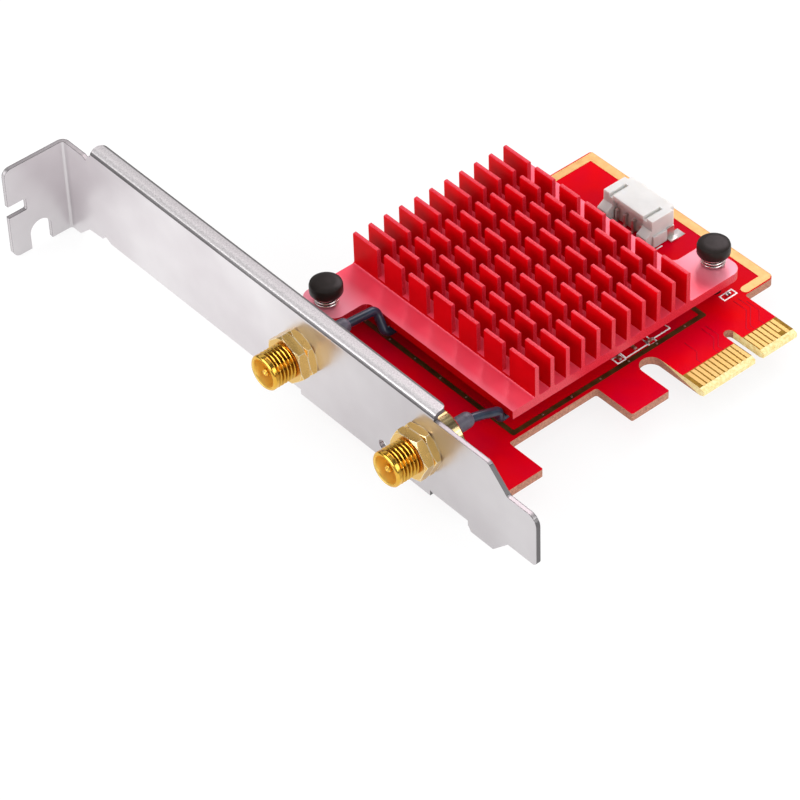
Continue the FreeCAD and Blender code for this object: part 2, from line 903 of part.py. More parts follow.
def make_socket():
    """Low socket that holds the contact end of the module."""
    half = module_width / 2
    y0 = module_end_y + module_length - socket_overlap
    body = block(module_centre_x - half - 0.1, module_centre_x + half + 0.1, y0,
                 y0 + socket_depth, 0.1, socket_height)
    c = slot_clearance
    slot = block(module_centre_x - half - 0.05, module_centre_x + half + 0.05, y0 - 1,
                 y0 + socket_overlap + c, module_lift - c, module_top + c)
    lead = block(module_centre_x - half + 1.5, module_centre_x + half - 1.5, y0 - 1,
                 y0 + 1.2, module_top, socket_height + 1)
    pegs = []
    for side in (-1, 1):
        foot = Vector(module_centre_x + side * 9.2, y0 + socket_depth - 2, 0)
        pegs.append(rod(foot, Vector(0, 0, 1), 0.6, 0.4))
    return joined([body.cut([slot, lead])] + pegs)


def make_socket_leads():
    """Solder feet along the back of the socket, as one group."""
    y = socket_end_y
    leads = []
    count = 34
    half = socket_lead_width / 2
    for i in range(count):
        x = module_centre_x + (i - (count - 1) / 2) * socket_lead_pitch
        leads.append(block(x - half, x + half, y, y + socket_lead_length, 0, socket_lead_height))
    return Part.makeCompound(leads)


def make_standoff():
    """Threaded post under the module's screw notch."""
    foot = Vector(module_centre_x, module_end_y, 0)
    up = Vector(0, 0, 1)
    post = rod(foot, up, standoff_radius, module_lift)
    return post.cut(rod(foot, up, module_screw_radius + thread_clearance, module_lift))


def make_module_screw():
    """Flat headed screw that clamps the module to its post."""
    foot = Vector(module_centre_x, module_end_y, module_top)
    r = module_screw_head
    h = module_screw_head_height
    shank = module_screw_radius
    profile = [(0, -module_top + 0.3), (shank, -module_top + 0.3), (shank, 0), (r, 0)]
    profile += [(r, h - 0.15), (r - 0.15, h), (0, h)]
    screw = turned(profile, foot, Vector(0, 0, 1))
    x, y = module_centre_x, module_end_y
    top = module_top + h
    arms = [block(x - 1.2, x + 1.2, y - 0.2, y + 0.2, top - 0.4, top + 1)]
    arms.append(block(x - 0.2, x + 0.2, y - 1.2, y + 1.2, top - 0.4, top + 1))
    return screw.cut(arms)


def low_cable_points():
    """Corners of the first cable's route, from its jack to the near plug."""
    x, y = module_jack_places()[0]
    z = cable_level()
    edge = sink_y0 - cable_radius
    return [
        Vector(low_jack_x, collar_end, jack_height),
        Vector(low_jack_x, collar_end + ferrule_length + 1.7, jack_height),
        Vector(low_jack_x, edge - 0.3, plate_top + 0.7),
        Vector(low_jack_x + 2.8, edge - 0.5, z - 0.1),
        Vector(low_jack_x + 2.3, edge + 3.4, z),
        Vector(x, y - plug_radius - plug_tail_length - 0.6, z),
        Vector(x, y - plug_radius - 0.4, z),
    ]


def high_cable_points():
    """Corners of the second cable's route, from its jack to the far plug."""
    x, y = module_jack_places()[1]
    z = cable_level()
    edge = sink_y0 - cable_radius
    return [
        Vector(high_jack_x, collar_end, jack_height),
        Vector(high_jack_x, collar_end + ferrule_length + 1.7, jack_height),
        Vector(high_jack_x - 0.2, edge - 3.7, plate_top + 0.6),
        Vector(high_jack_x - 2.7, edge + 0.4, z),
        Vector(x + 1.6, edge + 2.6, z),
        Vector(x, y - plug_radius - plug_tail_length - 0.9, z),
        Vector(x, y - plug_radius - 0.4, z),
    ]


def bend_radius_at(before, corner, after):
    """Bend radius at a corner, as large as the shorter of its two runs allows."""
    a = before - corner
    b = after - corner
    half_turn = (math.pi - a.getAngle(b)) / 2
    return 0.45 * min(a.Length, b.Length) / math.tan(half_turn)


def route(points):
    """Straight runs joined by tangent arcs through the given corners."""
    edges = []
    start = points[0]
    for i in range(1, len(points) - 1):
        corner = points[i]
        radius = bend_radius_at(points[i - 1], corner, points[i + 1])
        a = points[i - 1] - corner
        b = points[i + 1] - corner
        a.normalize()
        b.normalize()
        half = a.getAngle(b) / 2
        reach = radius / math.tan(half)
        middle = a + b
        middle.normalize()
        crest = corner + middle * (radius / math.sin(half) - radius)
        first = corner + a * reach
        last = corner + b * reach
        edges.append(Part.makeLine(start, first))
        edges.append(Part.Arc(first, crest, last).toShape())
        start = last
    edges.append(Part.makeLine(start, points[-1]))
    return Part.Wire(edges)


def swept(points, radius):
    """A round section carried along a route."""
    wire = route(points)
    way = points[1] - points[0]
    ring = Part.Wire(Part.makeCircle(radius, points[0], way))
    return wire.makePipeShell([ring], True, True)


def make_cable(points):
    """One antenna cable along its whole route."""
    return swept(points, cable_radius)


def make_sleeve(points):
    """Shrunk sleeve over the crimp and the first part of a cable."""
    run = points[2] - points[1]
    run.normalize()
    bend_reach = 0.45 * min((points[1] - points[0]).Length, (points[2] - points[1]).Length)
    rest = sleeve_length - (points[1] - points[0]).Length
    last = points[1] + run * max(rest, bend_reach + 0.5)
    radius = bend_radius_at(points[0], points[1], points[2])
    first = points[1] + (points[0] - points[1]).normalize() * bend_reach
    turn = points[1] + run * bend_reach
    a = (points[0] - points[1]).normalize()
    middle = (a + run).normalize()
    half = a.getAngle(run) / 2
    crest = points[1] + middle * (radius / math.sin(half) - radius)
    start = points[0] + Vector(0, 0.1, 0)
    edges = [Part.makeLine(start, first), Part.Arc(first, crest, turn).toShape()]
    edges.append(Part.makeLine(turn, last))
    wire = Part.Wire(edges)
    inner = ferrule_radius + sleeve_clearance
    solids = []
    for r in (inner + sleeve_wall, inner):
        ring = Part.Wire(Part.makeCircle(r, start, Vector(0, 1, 0)))
        solids.append(wire.makePipeShell([ring], True, True))
    return solids[0].cut(solids[1])


def header_spans():
    """Left, right, near and far limits of the header's body."""
    half = header_width / 2
    return (header_centre_x - half, header_centre_x + half, header_near_y,
            header_near_y + header_depth)


def header_feet():
    """The two feet that flank the pins, each with a sloping top."""
    x0, x1, y0, y1 = header_spans()
    profile = [
        (y0 - header_foot_reach, header_lift, 0),
        (y0 + 0.5, header_lift, 0),
        (y0 + 0.5, header_foot_top, 0),
        (y0, header_foot_top, 0),
        (y0 - header_foot_reach, header_foot_top - header_foot_slope, 0.1),
    ]
    return [slab("yz", x, header_foot_width, profile) for x in (x0, x1 - header_foot_width)]


def make_header():
    """White right-angle header, open at the far side, its pins bent down at the near side."""
    x0, x1, y0, y1 = header_spans()
    body = slab("yz", x0, header_width, rectangle(y0, y1, header_lift, header_height, 0.15))
    wall = header_wall
    inner = header_width / 2 - header_foot_width
    back = y0 + header_recess_depth + header_back_wall
    roof = slab("xy", header_height - wall, wall,
                rectangle(x0 + 0.8, x1 - 0.8, y1 - 1, y1 + header_roof_reach, 0.3))
    flare = slab("xy", header_lift, header_flare_height,
                 rectangle(x0 - header_flare, x1 + header_flare, y0, y1 - header_flare_end, 0.15))
    whole = joined([body, roof, flare] + header_feet())
    cavity = block(x0 + wall, x1 - wall, back, y1 + 2, header_lift + 0.8, header_height - wall)
    recess = block(header_centre_x - inner, header_centre_x + inner, y0 - 2,
                   y0 + header_recess_depth, header_lift - 1, header_height - wall)
    cuts = [cavity, recess]
    half = header_groove_width / 2
    for side in (-1, 1):
        x = header_centre_x + side * (inner + 0.5)
        cuts.append(block(x - half, x + half, y0 - 1, y0 + header_groove_length,
                          header_height - header_groove_depth, header_height + 1))
    slot = header_pin_side / 2 + 0.001
    for x in header_pin_places():
        cuts.append(block(x - slot, x + slot, y0, back + 1, header_pin_height - slot,
                          header_pin_height + slot))
    return whole.cut(cuts)


def header_pin_places():
    """X of each pin."""
    row = (header_pin_count - 1) * header_pin_pitch
    return [header_centre_x - row / 2 + i * header_pin_pitch for i in range(header_pin_count)]


def make_header_pins():
    """Bent square pins as one group."""
    x0, x1, y0, y1 = header_spans()
    half = header_pin_side / 2
    pins = []
    mid = y0 + header_recess_depth - 0.45
    for x in header_pin_places():
        level = header_pin_height
        corners = [
            (y1 - 0.7, level - half, 0),
            (y1 - 0.7, level + half, 0),
            (mid - half, level + half, 0.4),
            (mid - half, 0.35, 0.2),
            (y0 - header_pin_reach, 0.35, 0),
            (y0 - header_pin_reach, 0, 0),
            (mid + half, 0, 0.4),
            (mid + half, level - half, 0.15),
        ]
        pins.append(slab("yz", x - half, header_pin_side, corners))
    return Part.makeCompound(pins)


def make_header_tabs():
    """Solder tabs on both sides of the header."""
    x0, x1, y0, y1 = header_spans()
    tabs = []
    for x, side in ((x0, -1), (x1, 1)):
        reach = x + side * header_tab_reach
        wall = x + side * header_tab_thick
        corners = [(x, 0, 0), (reach, 0, 0), (reach, header_tab_thick, 0)]
        corners += [(wall, header_tab_thick, 0), (wall, header_tab_height, 0)]
        corners += [(x, header_tab_height, 0)]
        tabs.append(slab("xz", y1 - header_flare_end + 0.1, header_tab_length, corners))
    return Part.makeCompound(tabs)


def make_light():
    """Small light at the board's edge, behind its hole in the bracket."""
    y0 = -near_reach
    half = light_width / 2
    body = block(light_x - half, light_x + half, y0 + 0.3, y0 + 0.3 + light_depth, 0, light_body)
    lens = rod(Vector(light_x, y0 + 0.35, light_height), Vector(0, -1, 0), 0.45, 0.4)
    return joined([body, lens])


def chip(x, y, height, turned_round):
    """A small surface mounted part: body between two soldered ends."""
    u = chip_length / 2
    v = chip_width / 2
    if turned_round:
        u, v = v, u
    return block(x - u, x + u, y - v, y + v, 0, height)


def make_capacitors():
    """Small capacitors along the lower edge of the board, as one group."""
    row = sink_x1 - chip_row_setback
    places = ((row, first_chip_offset, False), (row - chip_row_step, second_chip_offset, False),
              (row + chip_row_step, third_chip_offset, True))
    chips = [chip(x, sink_centre_y + y, capacitor_height, turn) for x, y, turn in places]
    return Part.makeCompound(chips)


def make_resistors():
    """Small resistors: one near the far corner, one beside the status light."""
    far = chip(high_pin[0] + far_chip_side, high_pin[1] + far_chip_step, resistor_height, True)
    near = chip(light_x + light_chip_side, -near_reach + light_chip_setback, resistor_height,
                False)
    return Part.makeCompound([far, near])


def build():
    """Makes and writes every piece."""
    save("pcb", make_board())
    save("contacts_front", make_contacts(0))
    save("contacts_back", make_contacts(-board_thick - copper_thick))
    save("copper_border", make_border())
    save("copper_ring", make_ring())
    save("bracket", make_bracket())
    save("bracket_screws", make_bracket_screws())
    for name, x, turn in (("1", low_jack_x, low_nut_turn), ("2", high_jack_x, high_nut_turn)):
        save("jack_body_" + name, make_jack(x))
        save("jack_insulator_" + name, make_jack_insulator(x))
        save("jack_pin_" + name, make_jack_pin(x))
        save("jack_back_nut_" + name, hex_nut(x, 0, back_nut_thick, turn))
        save("jack_front_nut_" + name, hex_nut(x, back_nut_thick, nut_thick, turn))
    save("heat_sink", make_heat_sink())
    places = module_jack_places()
    for name, place, points, end in (("1", low_pin, low_cable_points(), places[0]),
                                     ("2", high_pin, high_cable_points(), places[1])):
        save("push_pin_" + name, make_push_pin(place))
        save("pin_spring_" + name, make_spring(place))
        save("coax_" + name, make_cable(points))
        save("heat_shrink_" + name, make_sleeve(points))
        save("coax_plug_" + name, make_plug(end))
    save("module_board", make_module_board())
    save("module_shield", make_shield())
    save("thermal_pad", make_thermal_pad())
    save("module_jacks", make_module_jacks())
    save("m2_socket", make_socket())
    save("m2_socket_leads", make_socket_leads())
    save("m2_standoff", make_standoff())
    save("m2_screw", make_module_screw())
    save("header_housing", make_header())
    save("header_pins", make_header_pins())
    save("header_tabs", make_header_tabs())
    save("status_light", make_light())
    save("chip_capacitors", make_capacitors())
    save("chip_resistors", make_resistors())


build()
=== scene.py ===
"""Looks, stage and camera of a small plug-in card with a finned heat sink and a slot bracket."""

import json
import math

import bpy
import numpy as np
from bpy.props import FloatProperty, FloatVectorProperty, IntProperty, PointerProperty
from mathutils import Matrix, Vector

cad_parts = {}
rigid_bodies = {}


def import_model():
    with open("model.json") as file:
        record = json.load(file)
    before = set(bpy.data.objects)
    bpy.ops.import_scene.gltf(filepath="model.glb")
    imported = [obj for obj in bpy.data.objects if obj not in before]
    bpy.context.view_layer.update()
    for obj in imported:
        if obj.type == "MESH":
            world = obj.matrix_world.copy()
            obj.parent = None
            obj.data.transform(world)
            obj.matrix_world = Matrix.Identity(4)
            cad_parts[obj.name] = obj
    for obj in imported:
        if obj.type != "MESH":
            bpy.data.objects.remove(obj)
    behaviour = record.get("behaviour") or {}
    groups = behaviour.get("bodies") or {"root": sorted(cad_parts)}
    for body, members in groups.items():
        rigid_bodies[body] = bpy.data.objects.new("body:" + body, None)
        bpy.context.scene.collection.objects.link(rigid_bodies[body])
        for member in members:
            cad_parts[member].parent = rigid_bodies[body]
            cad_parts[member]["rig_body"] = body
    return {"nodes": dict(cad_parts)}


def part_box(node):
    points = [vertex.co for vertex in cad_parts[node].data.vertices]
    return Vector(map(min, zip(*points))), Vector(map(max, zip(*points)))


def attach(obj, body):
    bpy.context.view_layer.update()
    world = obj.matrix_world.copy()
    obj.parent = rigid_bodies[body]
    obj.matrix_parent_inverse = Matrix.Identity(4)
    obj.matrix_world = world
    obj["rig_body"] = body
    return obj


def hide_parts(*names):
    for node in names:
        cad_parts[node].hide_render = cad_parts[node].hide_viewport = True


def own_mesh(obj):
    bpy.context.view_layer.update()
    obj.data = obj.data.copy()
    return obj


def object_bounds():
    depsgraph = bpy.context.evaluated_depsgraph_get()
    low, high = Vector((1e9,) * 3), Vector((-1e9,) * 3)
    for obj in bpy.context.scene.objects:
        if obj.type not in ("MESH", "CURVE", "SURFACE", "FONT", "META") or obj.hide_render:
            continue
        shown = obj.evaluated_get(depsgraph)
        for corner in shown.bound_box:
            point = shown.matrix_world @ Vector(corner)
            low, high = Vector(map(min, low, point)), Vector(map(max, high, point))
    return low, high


bl_info = {
    "name": "Plug-in Card Looks",
    "version": (1, 0, 0),
    "blender": (4, 5, 0),
    "location": "3D View > Sidebar > Card",
    "description": "Dresses the packed card with its finishes, threads, springs and print",
    "category": "Object",
}

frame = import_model()
CAD_BOX = [list(corner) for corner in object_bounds()]
MM = 0.001


def linear(hex_colour):
    """The linear colour of an sRGB hex value: each channel c becomes ((c + 0.055) / 1.055) ^ 2.4."""
    channels = [int(hex_colour[i:i + 2], 16) / 255 for i in (1, 3, 5)]
    low = [c / 12.92 for c in channels]
    high = [((c + 0.055) / 1.055) ** 2.4 for c in channels]
    return [a if c <= 0.04045 else b for a, b, c in zip(low, high, channels)] + [1.0]


# Materials

def put(tree, kind, settings=None, inputs=None):
    """Adds one node with its settings, and values or links on its inputs."""
    node = tree.nodes.new(kind)
    for name, value in (settings or {}).items():
        setattr(node, name, value)
    for name, value in (inputs or {}).items():
        socket = node.inputs[name]
        if isinstance(value, bpy.types.NodeSocket):
            tree.links.new(value, socket)
        else:
            socket.default_value = value
    return node


def start(name):
    """A new material's tree, its shader and the place on the piece in metres."""
    material = bpy.data.materials.new(name)
    material.use_nodes = True
    tree = material.node_tree
    shader = tree.nodes["Principled BSDF"]
    place = put(tree, "ShaderNodeTexCoord").outputs["Object"]
    return material, tree, shader, place


def mottled(tree, place, size_mm, dark, light, detail=3.0, stretch=(1, 1, 1)):
    """Two colours mixed by soft noise whose spots are about size_mm across."""
    scaled = put(tree, "ShaderNodeMapping", inputs={"Vector": place, "Scale": stretch})
    noise = put(tree, "ShaderNodeTexNoise", inputs={
        "Vector": scaled.outputs[0], "Scale": 1 / (size_mm * MM), "Detail": detail})
    ramp = put(tree, "ShaderNodeValToRGB", inputs={"Fac": noise.outputs["Fac"]})
    ramp.color_ramp.elements[0].position = 0.3
    ramp.color_ramp.elements[0].color = linear(dark)
    ramp.color_ramp.elements[1].position = 0.7
    ramp.color_ramp.elements[1].color = linear(light)
    return ramp.outputs["Color"], noise.outputs["Fac"]


def between(tree, value, low, high):
    """A value from 0 to 1 carried to the span from low to high."""
    return put(tree, "ShaderNodeMapRange", inputs={
        "Value": value, "To Min": low, "To Max": high}).outputs["Result"]


def relief(tree, height, depth_mm, strength=1.0):
    """A bump of depth_mm from a height between 0 and 1."""
    return put(tree, "ShaderNodeBump", inputs={
        "Height": height, "Distance": depth_mm * MM, "Strength": strength}).outputs["Normal"]


def split(tree, place):
    """The place's three coordinates."""
    parts = put(tree, "ShaderNodeSeparateXYZ", inputs={"Vector": place})
    return parts.outputs["X"], parts.outputs["Y"], parts.outputs["Z"]


def maths(tree, operation, a, b):
    """One sum on two values."""
    node = put(tree, "ShaderNodeMath", {"operation": operation})
    for socket, value in zip(node.inputs, (a, b)):
        if isinstance(value, bpy.types.NodeSocket):
            tree.links.new(value, socket)
        else:
            socket.default_value = value
    return node.outputs[0]


def blend_colour(tree, share, a, b):
    """Colour a where the share is 0 and b where it is 1."""
    node = put(tree, "ShaderNodeMix", {"data_type": "RGBA"}, {"Factor": share})
    for socket, value in ((node.inputs[6], a), (node.inputs[7], b)):
        if isinstance(value, bpy.types.NodeSocket):
            tree.links.new(value, socket)
        else:
            socket.default_value = value
    return node.outputs[2]


def edge_share(tree, width_mm):
    """How near a place is to a sharp edge: 0 out on a face, 1 on an edge, over about width_mm."""
    rounded = put(tree, "ShaderNodeBevel", {"samples": 6}, {"Radius": width_mm * MM})
    flat = put(tree, "ShaderNodeNewGeometry").outputs["Normal"]
    along = put(tree, "ShaderNodeVectorMath", {"operation": "DOT_PRODUCT"}, {
        0: rounded.outputs["Normal"], 1: flat})
    return put(tree, "ShaderNodeMapRange", inputs={
        "Value": along.outputs["Value"], "From Min": 0.995, "From Max": 0.9}).outputs["Result"]


def solder_mask(colours):
    """Red photo-imaged solder mask over glass cloth laminate: glossy, even, with the copper under it
    just showing as a lighter red, and bare amber laminate between the gold contacts."""
    material, tree, shader, place = start("solder_mask_red")
    red, cloud = mottled(tree, place, 12.0, colours.mask_dark, colours.mask)
    x, y, z = split(tree, place)
    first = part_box("contacts_front")[0].y - 0.9 * MM
    bare = maths(tree, "GREATER_THAN", x, -4.95 * MM)
    bare = maths(tree, "MULTIPLY", bare, maths(tree, "GREATER_THAN", y, first))
    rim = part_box("copper_border")[1].y - 0.05 * MM
    amber, grain = mottled(tree, place, 0.5, "#7A5A1E", "#9A7630")
    shade = blend_colour(tree, bare, red, amber)
    shade = blend_colour(tree, maths(tree, "GREATER_THAN", y, rim), shade, linear("#D8A870"))
    tree.links.new(shade, shader.inputs["Base Color"])
    # Glass cloth with a thread every 0.5 mm, pressed faintly through the mask
    warp = put(tree, "ShaderNodeTexWave", {"bands_direction": "X"}, {
        "Vector": place, "Scale": 0.314 / (0.5 * MM) / 2, "Distortion": 0.6})
    weft = put(tree, "ShaderNodeTexWave", {"bands_direction": "Y"}, {
        "Vector": place, "Scale": 0.314 / (0.5 * MM) / 2, "Distortion": 0.6})
    cloth = maths(tree, "ADD", warp.outputs["Fac"], weft.outputs["Fac"])
    tree.links.new(relief(tree, cloth, 0.003, 0.5), shader.inputs["Normal"])
    tree.links.new(between(tree, cloud, 0.26, 0.38), shader.inputs["Roughness"])
    shader.inputs["Specular IOR Level"].default_value = 0.012
    return material


def sawn_laminate(colours):
    """Routed edge of glass cloth laminate: dull tan, with thin layers along the board."""
    material, tree, shader, place = start("sawn_laminate")
    x, y, z = split(tree, place)
    layer = put(tree, "ShaderNodeTexWave", {"bands_direction": "Z"}, {
        "Vector": place, "Scale": 0.314 / (0.4 * MM), "Distortion": 1.2, "Detail": 3.0})
    tan, fibre = mottled(tree, place, 0.35, colours.laminate_dark, colours.laminate)
    copper = blend_colour(tree, between(tree, layer.outputs["Fac"], 0.0, 0.35), tan,
                          linear("#8C4A34"))
    tree.links.new(copper, shader.inputs["Base Color"])
    tree.links.new(relief(tree, fibre, 0.03), shader.inputs["Normal"])
    shader.inputs["Roughness"].default_value = 0.75
    return material


def bevelled_laminate(colours):
    """Ground bevel of bare laminate at the gold edge: pale, slightly waxy yellow."""
    material, tree, shader, place = start("ground_laminate")
    pale, fibre = mottled(tree, place, 0.6, "#D9BC75", "#E8DFA8")
    tree.links.new(pale, shader.inputs["Base Color"])
    tree.links.new(relief(tree, fibre, 0.015), shader.inputs["Normal"])
    shader.inputs["Roughness"].default_value = 0.5
    return material


def hard_gold(colours):
    """Electroplated hard gold on the contacts: bright pale gold with a fine brushed drag."""
    material, tree, shader, place = start("hard_gold_plate")
    gold, cloud = mottled(tree, place, 2.5, colours.contact_dark, colours.contact, 2.0, (0.3, 1, 1))
    tree.links.new(gold, shader.inputs["Base Color"])
    shader.inputs["Metallic"].default_value = 1.0
    tree.links.new(between(tree, cloud, 0.38, 0.50), shader.inputs["Roughness"])
    return material


def immersion_gold(colours):
    """Immersion gold over bare copper: flat, pale and a little grainy."""
    material, tree, shader, place = start("immersion_gold")
    gold, cloud = mottled(tree, place, 1.6, "#CCA060", colours.border)
    tree.links.new(gold, shader.inputs["Base Color"])
    shader.inputs["Metallic"].default_value = 0.6
    tree.links.new(between(tree, cloud, 0.36, 0.5), shader.inputs["Roughness"])
    tree.links.new(relief(tree, cloud, 0.01), shader.inputs["Normal"])
    return material


def painted_shade_gold(colours):
    """Plated frame under the heat sink: dull brown gold, painted shade and dark reflection from the
    sink above.
    """
    material, tree, shader, place = start("painted_shade_gold")
    brown, cloud = mottled(tree, place, 1.8, "#4A3418", colours.ring)
    tree.links.new(brown, shader.inputs["Base Color"])
    shader.inputs["Metallic"].default_value = 0.6
    tree.links.new(between(tree, cloud, 0.35, 0.55), shader.inputs["Roughness"])
    return material


def plated_sheet(colours, name="nickel_plated_sheet", darker=1.0, rough=0.27, painted_edge_shade=0.0):
    """Nickel plated sheet steel, rolled and tumbled: satin silver with a faint grain along its length
    and soft clouds. A painted reflection pales the middle third of its length, painted shade darkens
    the tab, and it is darker towards the lower edge. A sheared edge has a painted dark line of shade
    along both its corners."""
    material, tree, shader, place = start(name)
    silver, cloud = mottled(tree, place, 16.0, colours.sheet_dark, colours.sheet)
    x, y, z = split(tree, place)
    # Painted reflection: paler over the middle of the length, around x = -82 mm
    offset = maths(tree, "ABSOLUTE", maths(tree, "ADD", x, 82 * MM), 0.0)
    band = put(tree, "ShaderNodeMapRange", {"interpolation_type": "SMOOTHSTEP"}, {
        "Value": offset, "From Min": 18 * MM, "From Max": 66 * MM, "To Min": darker,
        "To Max": darker * 0.75}).outputs["Result"]
    # Painted shade: 0.84 on the tab beyond x = -107.6 mm; below, darker towards the lower edge
    tab = put(tree, "ShaderNodeMapRange", inputs={
        "Value": x, "From Min": -107.6 * MM, "From Max": -106.2 * MM, "To Min": 0.84}).outputs["Result"]
    low = put(tree, "ShaderNodeMapRange", inputs={
        "Value": z, "From Min": -5.5 * MM, "From Max": 6 * MM, "To Min": 0.9}).outputs["Result"]
    tone = maths(tree, "MULTIPLY", maths(tree, "MULTIPLY", band, tab), low)
    tone = put(tree, "ShaderNodeVectorMath", {"operation": "SCALE"}, {
        0: silver, "Scale": tone}).outputs[0]
    # Painted shade: a dark #262424 line along the sharp edges, found by the bevel
    if painted_edge_shade:
        line = maths(tree, "MULTIPLY", edge_share(tree, 0.36), painted_edge_shade)
        tone = blend_colour(tree, line, tone, linear("#262424"))
    tree.links.new(tone, shader.inputs["Base Color"])
    shader.inputs["Metallic"].default_value = 0.95
    # Rolling grain 0.12 mm wide and some 6 mm long
    run = put(tree, "ShaderNodeMapping", inputs={"Vector": place, "Scale": (0.02, 1, 1)})
    grain = put(tree, "ShaderNodeTexNoise", inputs={
        "Vector": run.outputs[0], "Scale": 1 / (0.12 * MM), "Detail": 2.0})
    tree.links.new(between(tree, cloud, rough, rough + 0.1), shader.inputs["Roughness"])
    tree.links.new(relief(tree, grain.outputs["Fac"], 0.004), shader.inputs["Normal"])
    return material


def tumbled_fold(colours):
    """The folded lips: the same plating, dulled by tumbling into fine pale grey specks 0.15 mm
    across, stretched a little along the fold."""
    material, tree, shader, place = start("tumbled_fold")
    silver, cloud = mottled(tree, place, 0.16, "#D2CDD0", "#FAF6F7", 2.0, (0.5, 1, 1))
    # Painted light across the lip: highlight on its bend, shade behind, dark line at the sheared edge
    x, y, z = split(tree, place)
    across = put(tree, "ShaderNodeMapRange", inputs={
        "Value": y, "From Min": -59.0 * MM, "From Max": -56.6 * MM}).outputs["Result"]
    tone = put(tree, "ShaderNodeValToRGB", inputs={"Fac": across})
    bands = ((0.0, 0.7), (0.3, 1.0), (0.55, 0.86), (0.84, 0.8), (0.9, 0.2))
    while len(tone.color_ramp.elements) < len(bands):
        tone.color_ramp.elements.new(0.5)
    for element, (position, value) in zip(tone.color_ramp.elements, bands):
        element.position = position
        element.color = (value, value, value, 1)
    shade = put(tree, "ShaderNodeVectorMath", {"operation": "MULTIPLY"}, {
        0: silver, 1: tone.outputs["Color"]})
    tree.links.new(shade.outputs[0], shader.inputs["Base Color"])
    shader.inputs["Metallic"].default_value = 0.55
    tree.links.new(between(tree, cloud, 0.34, 0.26), shader.inputs["Roughness"])
    tree.links.new(relief(tree, cloud, 0.004), shader.inputs["Normal"])
    return material


def turned_gold(colours, name="turned_gold_plate", shade=None, rough=0.2, painted_highlight=None):
    """Gold plate on turned brass: deep yellow, mirror-like, with fine tool rings around the axis. On
    the nuts a painted highlight lightens the corners."""
    material, tree, shader, place = start(name)
    gold, cloud = mottled(tree, place, 3.0, shade or colours.jack_dark, shade or colours.jack)
    # Painted highlight on the sharp corners
    if painted_highlight:
        gold = blend_colour(tree, edge_share(tree, 0.3), gold, linear(painted_highlight))
    tree.links.new(gold, shader.inputs["Base Color"])
    shader.inputs["Metallic"].default_value = 1.0
    # Tool rings every 0.2 mm along the jack's axis
    rings = put(tree, "ShaderNodeTexWave", {"bands_direction": "Y"}, {
        "Vector": place, "Scale": 0.314 / (0.2 * MM), "Distortion": 0.5})
    tree.links.new(relief(tree, rings.outputs["Fac"], 0.001, 0.15), shader.inputs["Normal"])
    tree.links.new(between(tree, cloud, rough, rough + 0.12), shader.inputs["Roughness"])
    return material


def cut_thread(colours, name="cut_thread_gold", dark=None, light=None):
    """The jack's turned body: gold plate, darkened to brown down in the thread and in the knurl of its
    collar as painted shade. The mesh carries the depth as groove, 0 on a crest and 1 at a root."""
    material, tree, shader, place = start(name)
    gold, cloud = mottled(tree, place, 3.0, dark or colours.jack_dark, light or colours.jack)
    groove = put(tree, "ShaderNodeAttribute", {"attribute_name": "groove"}).outputs["Fac"]
    # Painted shade: the gold darkens to brown with the depth of the groove
    painted_groove_shade = between(tree, maths(tree, "POWER", groove, 0.7), 0.0, 0.75)
    tree.links.new(blend_colour(tree, painted_groove_shade, gold, linear("#6E4616")), shader.inputs["Base Color"])
    shader.inputs["Metallic"].default_value = 1.0
    tree.links.new(between(tree, cloud, 0.14, 0.24), shader.inputs["Roughness"])
    return material


def red_anodised(colours, name="red_anodised_aluminium", dark=None, light=None, sealed=0.0,
                 metal=0.04):
    """Extruded aluminium, etched and dyed red anodised: satin and deep red. On the milled and sawn
    faces the sealed skin shines more; there the pink of the up-facing copy is painted sheen, and a
    painted highlight pales the ears."""
    material, tree, shader, place = start(name)
    red, cloud = mottled(tree, place, 7.0, dark or colours.anodised_dark, light or colours.anodised)
    if sealed:
        # Painted highlight: the two ears are painted paler than the plate between them
        x, y, z = split(tree, place)
        low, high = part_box("heat_sink")
        near = put(tree, "ShaderNodeMapRange", inputs={
            "Value": y, "From Min": low.y + 9 * MM, "From Max": low.y + 4 * MM}).outputs["Result"]
        far = put(tree, "ShaderNodeMapRange", inputs={
            "Value": y, "From Min": high.y - 9 * MM, "From Max": high.y - 4 * MM})
        painted_highlight = maths(tree, "MAXIMUM", near, far.outputs["Result"])
        red = blend_colour(tree, painted_highlight, red, linear("#F08EA0"))
    tree.links.new(red, shader.inputs["Base Color"])
    shader.inputs["Metallic"].default_value = metal
    shader.inputs["Specular IOR Level"].default_value = 0.05
    shader.inputs["Coat Weight"].default_value = sealed
    shader.inputs["Coat Roughness"].default_value = 0.3
    # Etched grain about 0.15 mm, with draw lines along the fins
    run = put(tree, "ShaderNodeMapping", inputs={"Vector": place, "Scale": (0.15, 1, 1)})
    etch = put(tree, "ShaderNodeTexNoise", inputs={
        "Vector": run.outputs[0], "Scale": 1 / (0.15 * MM), "Detail": 4.0})
    tree.links.new(relief(tree, etch.outputs["Fac"], 0.004), shader.inputs["Normal"])
    tree.links.new(between(tree, cloud, 0.42, 0.5), shader.inputs["Roughness"])
    return material


def sawn_fins(colours):
    """Sawn ends and crests of the fins: the same red over saw marks, paler and pinker as painted sheen
    where the light falls on them, mottled in specks about 0.25 mm across."""
    material, tree, shader, place = start("sawn_red_anodised_painted_sheen")
    red, cloud = mottled(tree, place, 0.25, "#C00A20", "#DC344A", 2.0)
    tree.links.new(red, shader.inputs["Base Color"])
    shader.inputs["Metallic"].default_value = 0.3
    shader.inputs["Coat Weight"].default_value = 0.3
    shader.inputs["Coat Roughness"].default_value = 0.3
    tree.links.new(relief(tree, cloud, 0.006), shader.inputs["Normal"])
    tree.links.new(between(tree, cloud, 0.4, 0.5), shader.inputs["Roughness"])
    return material


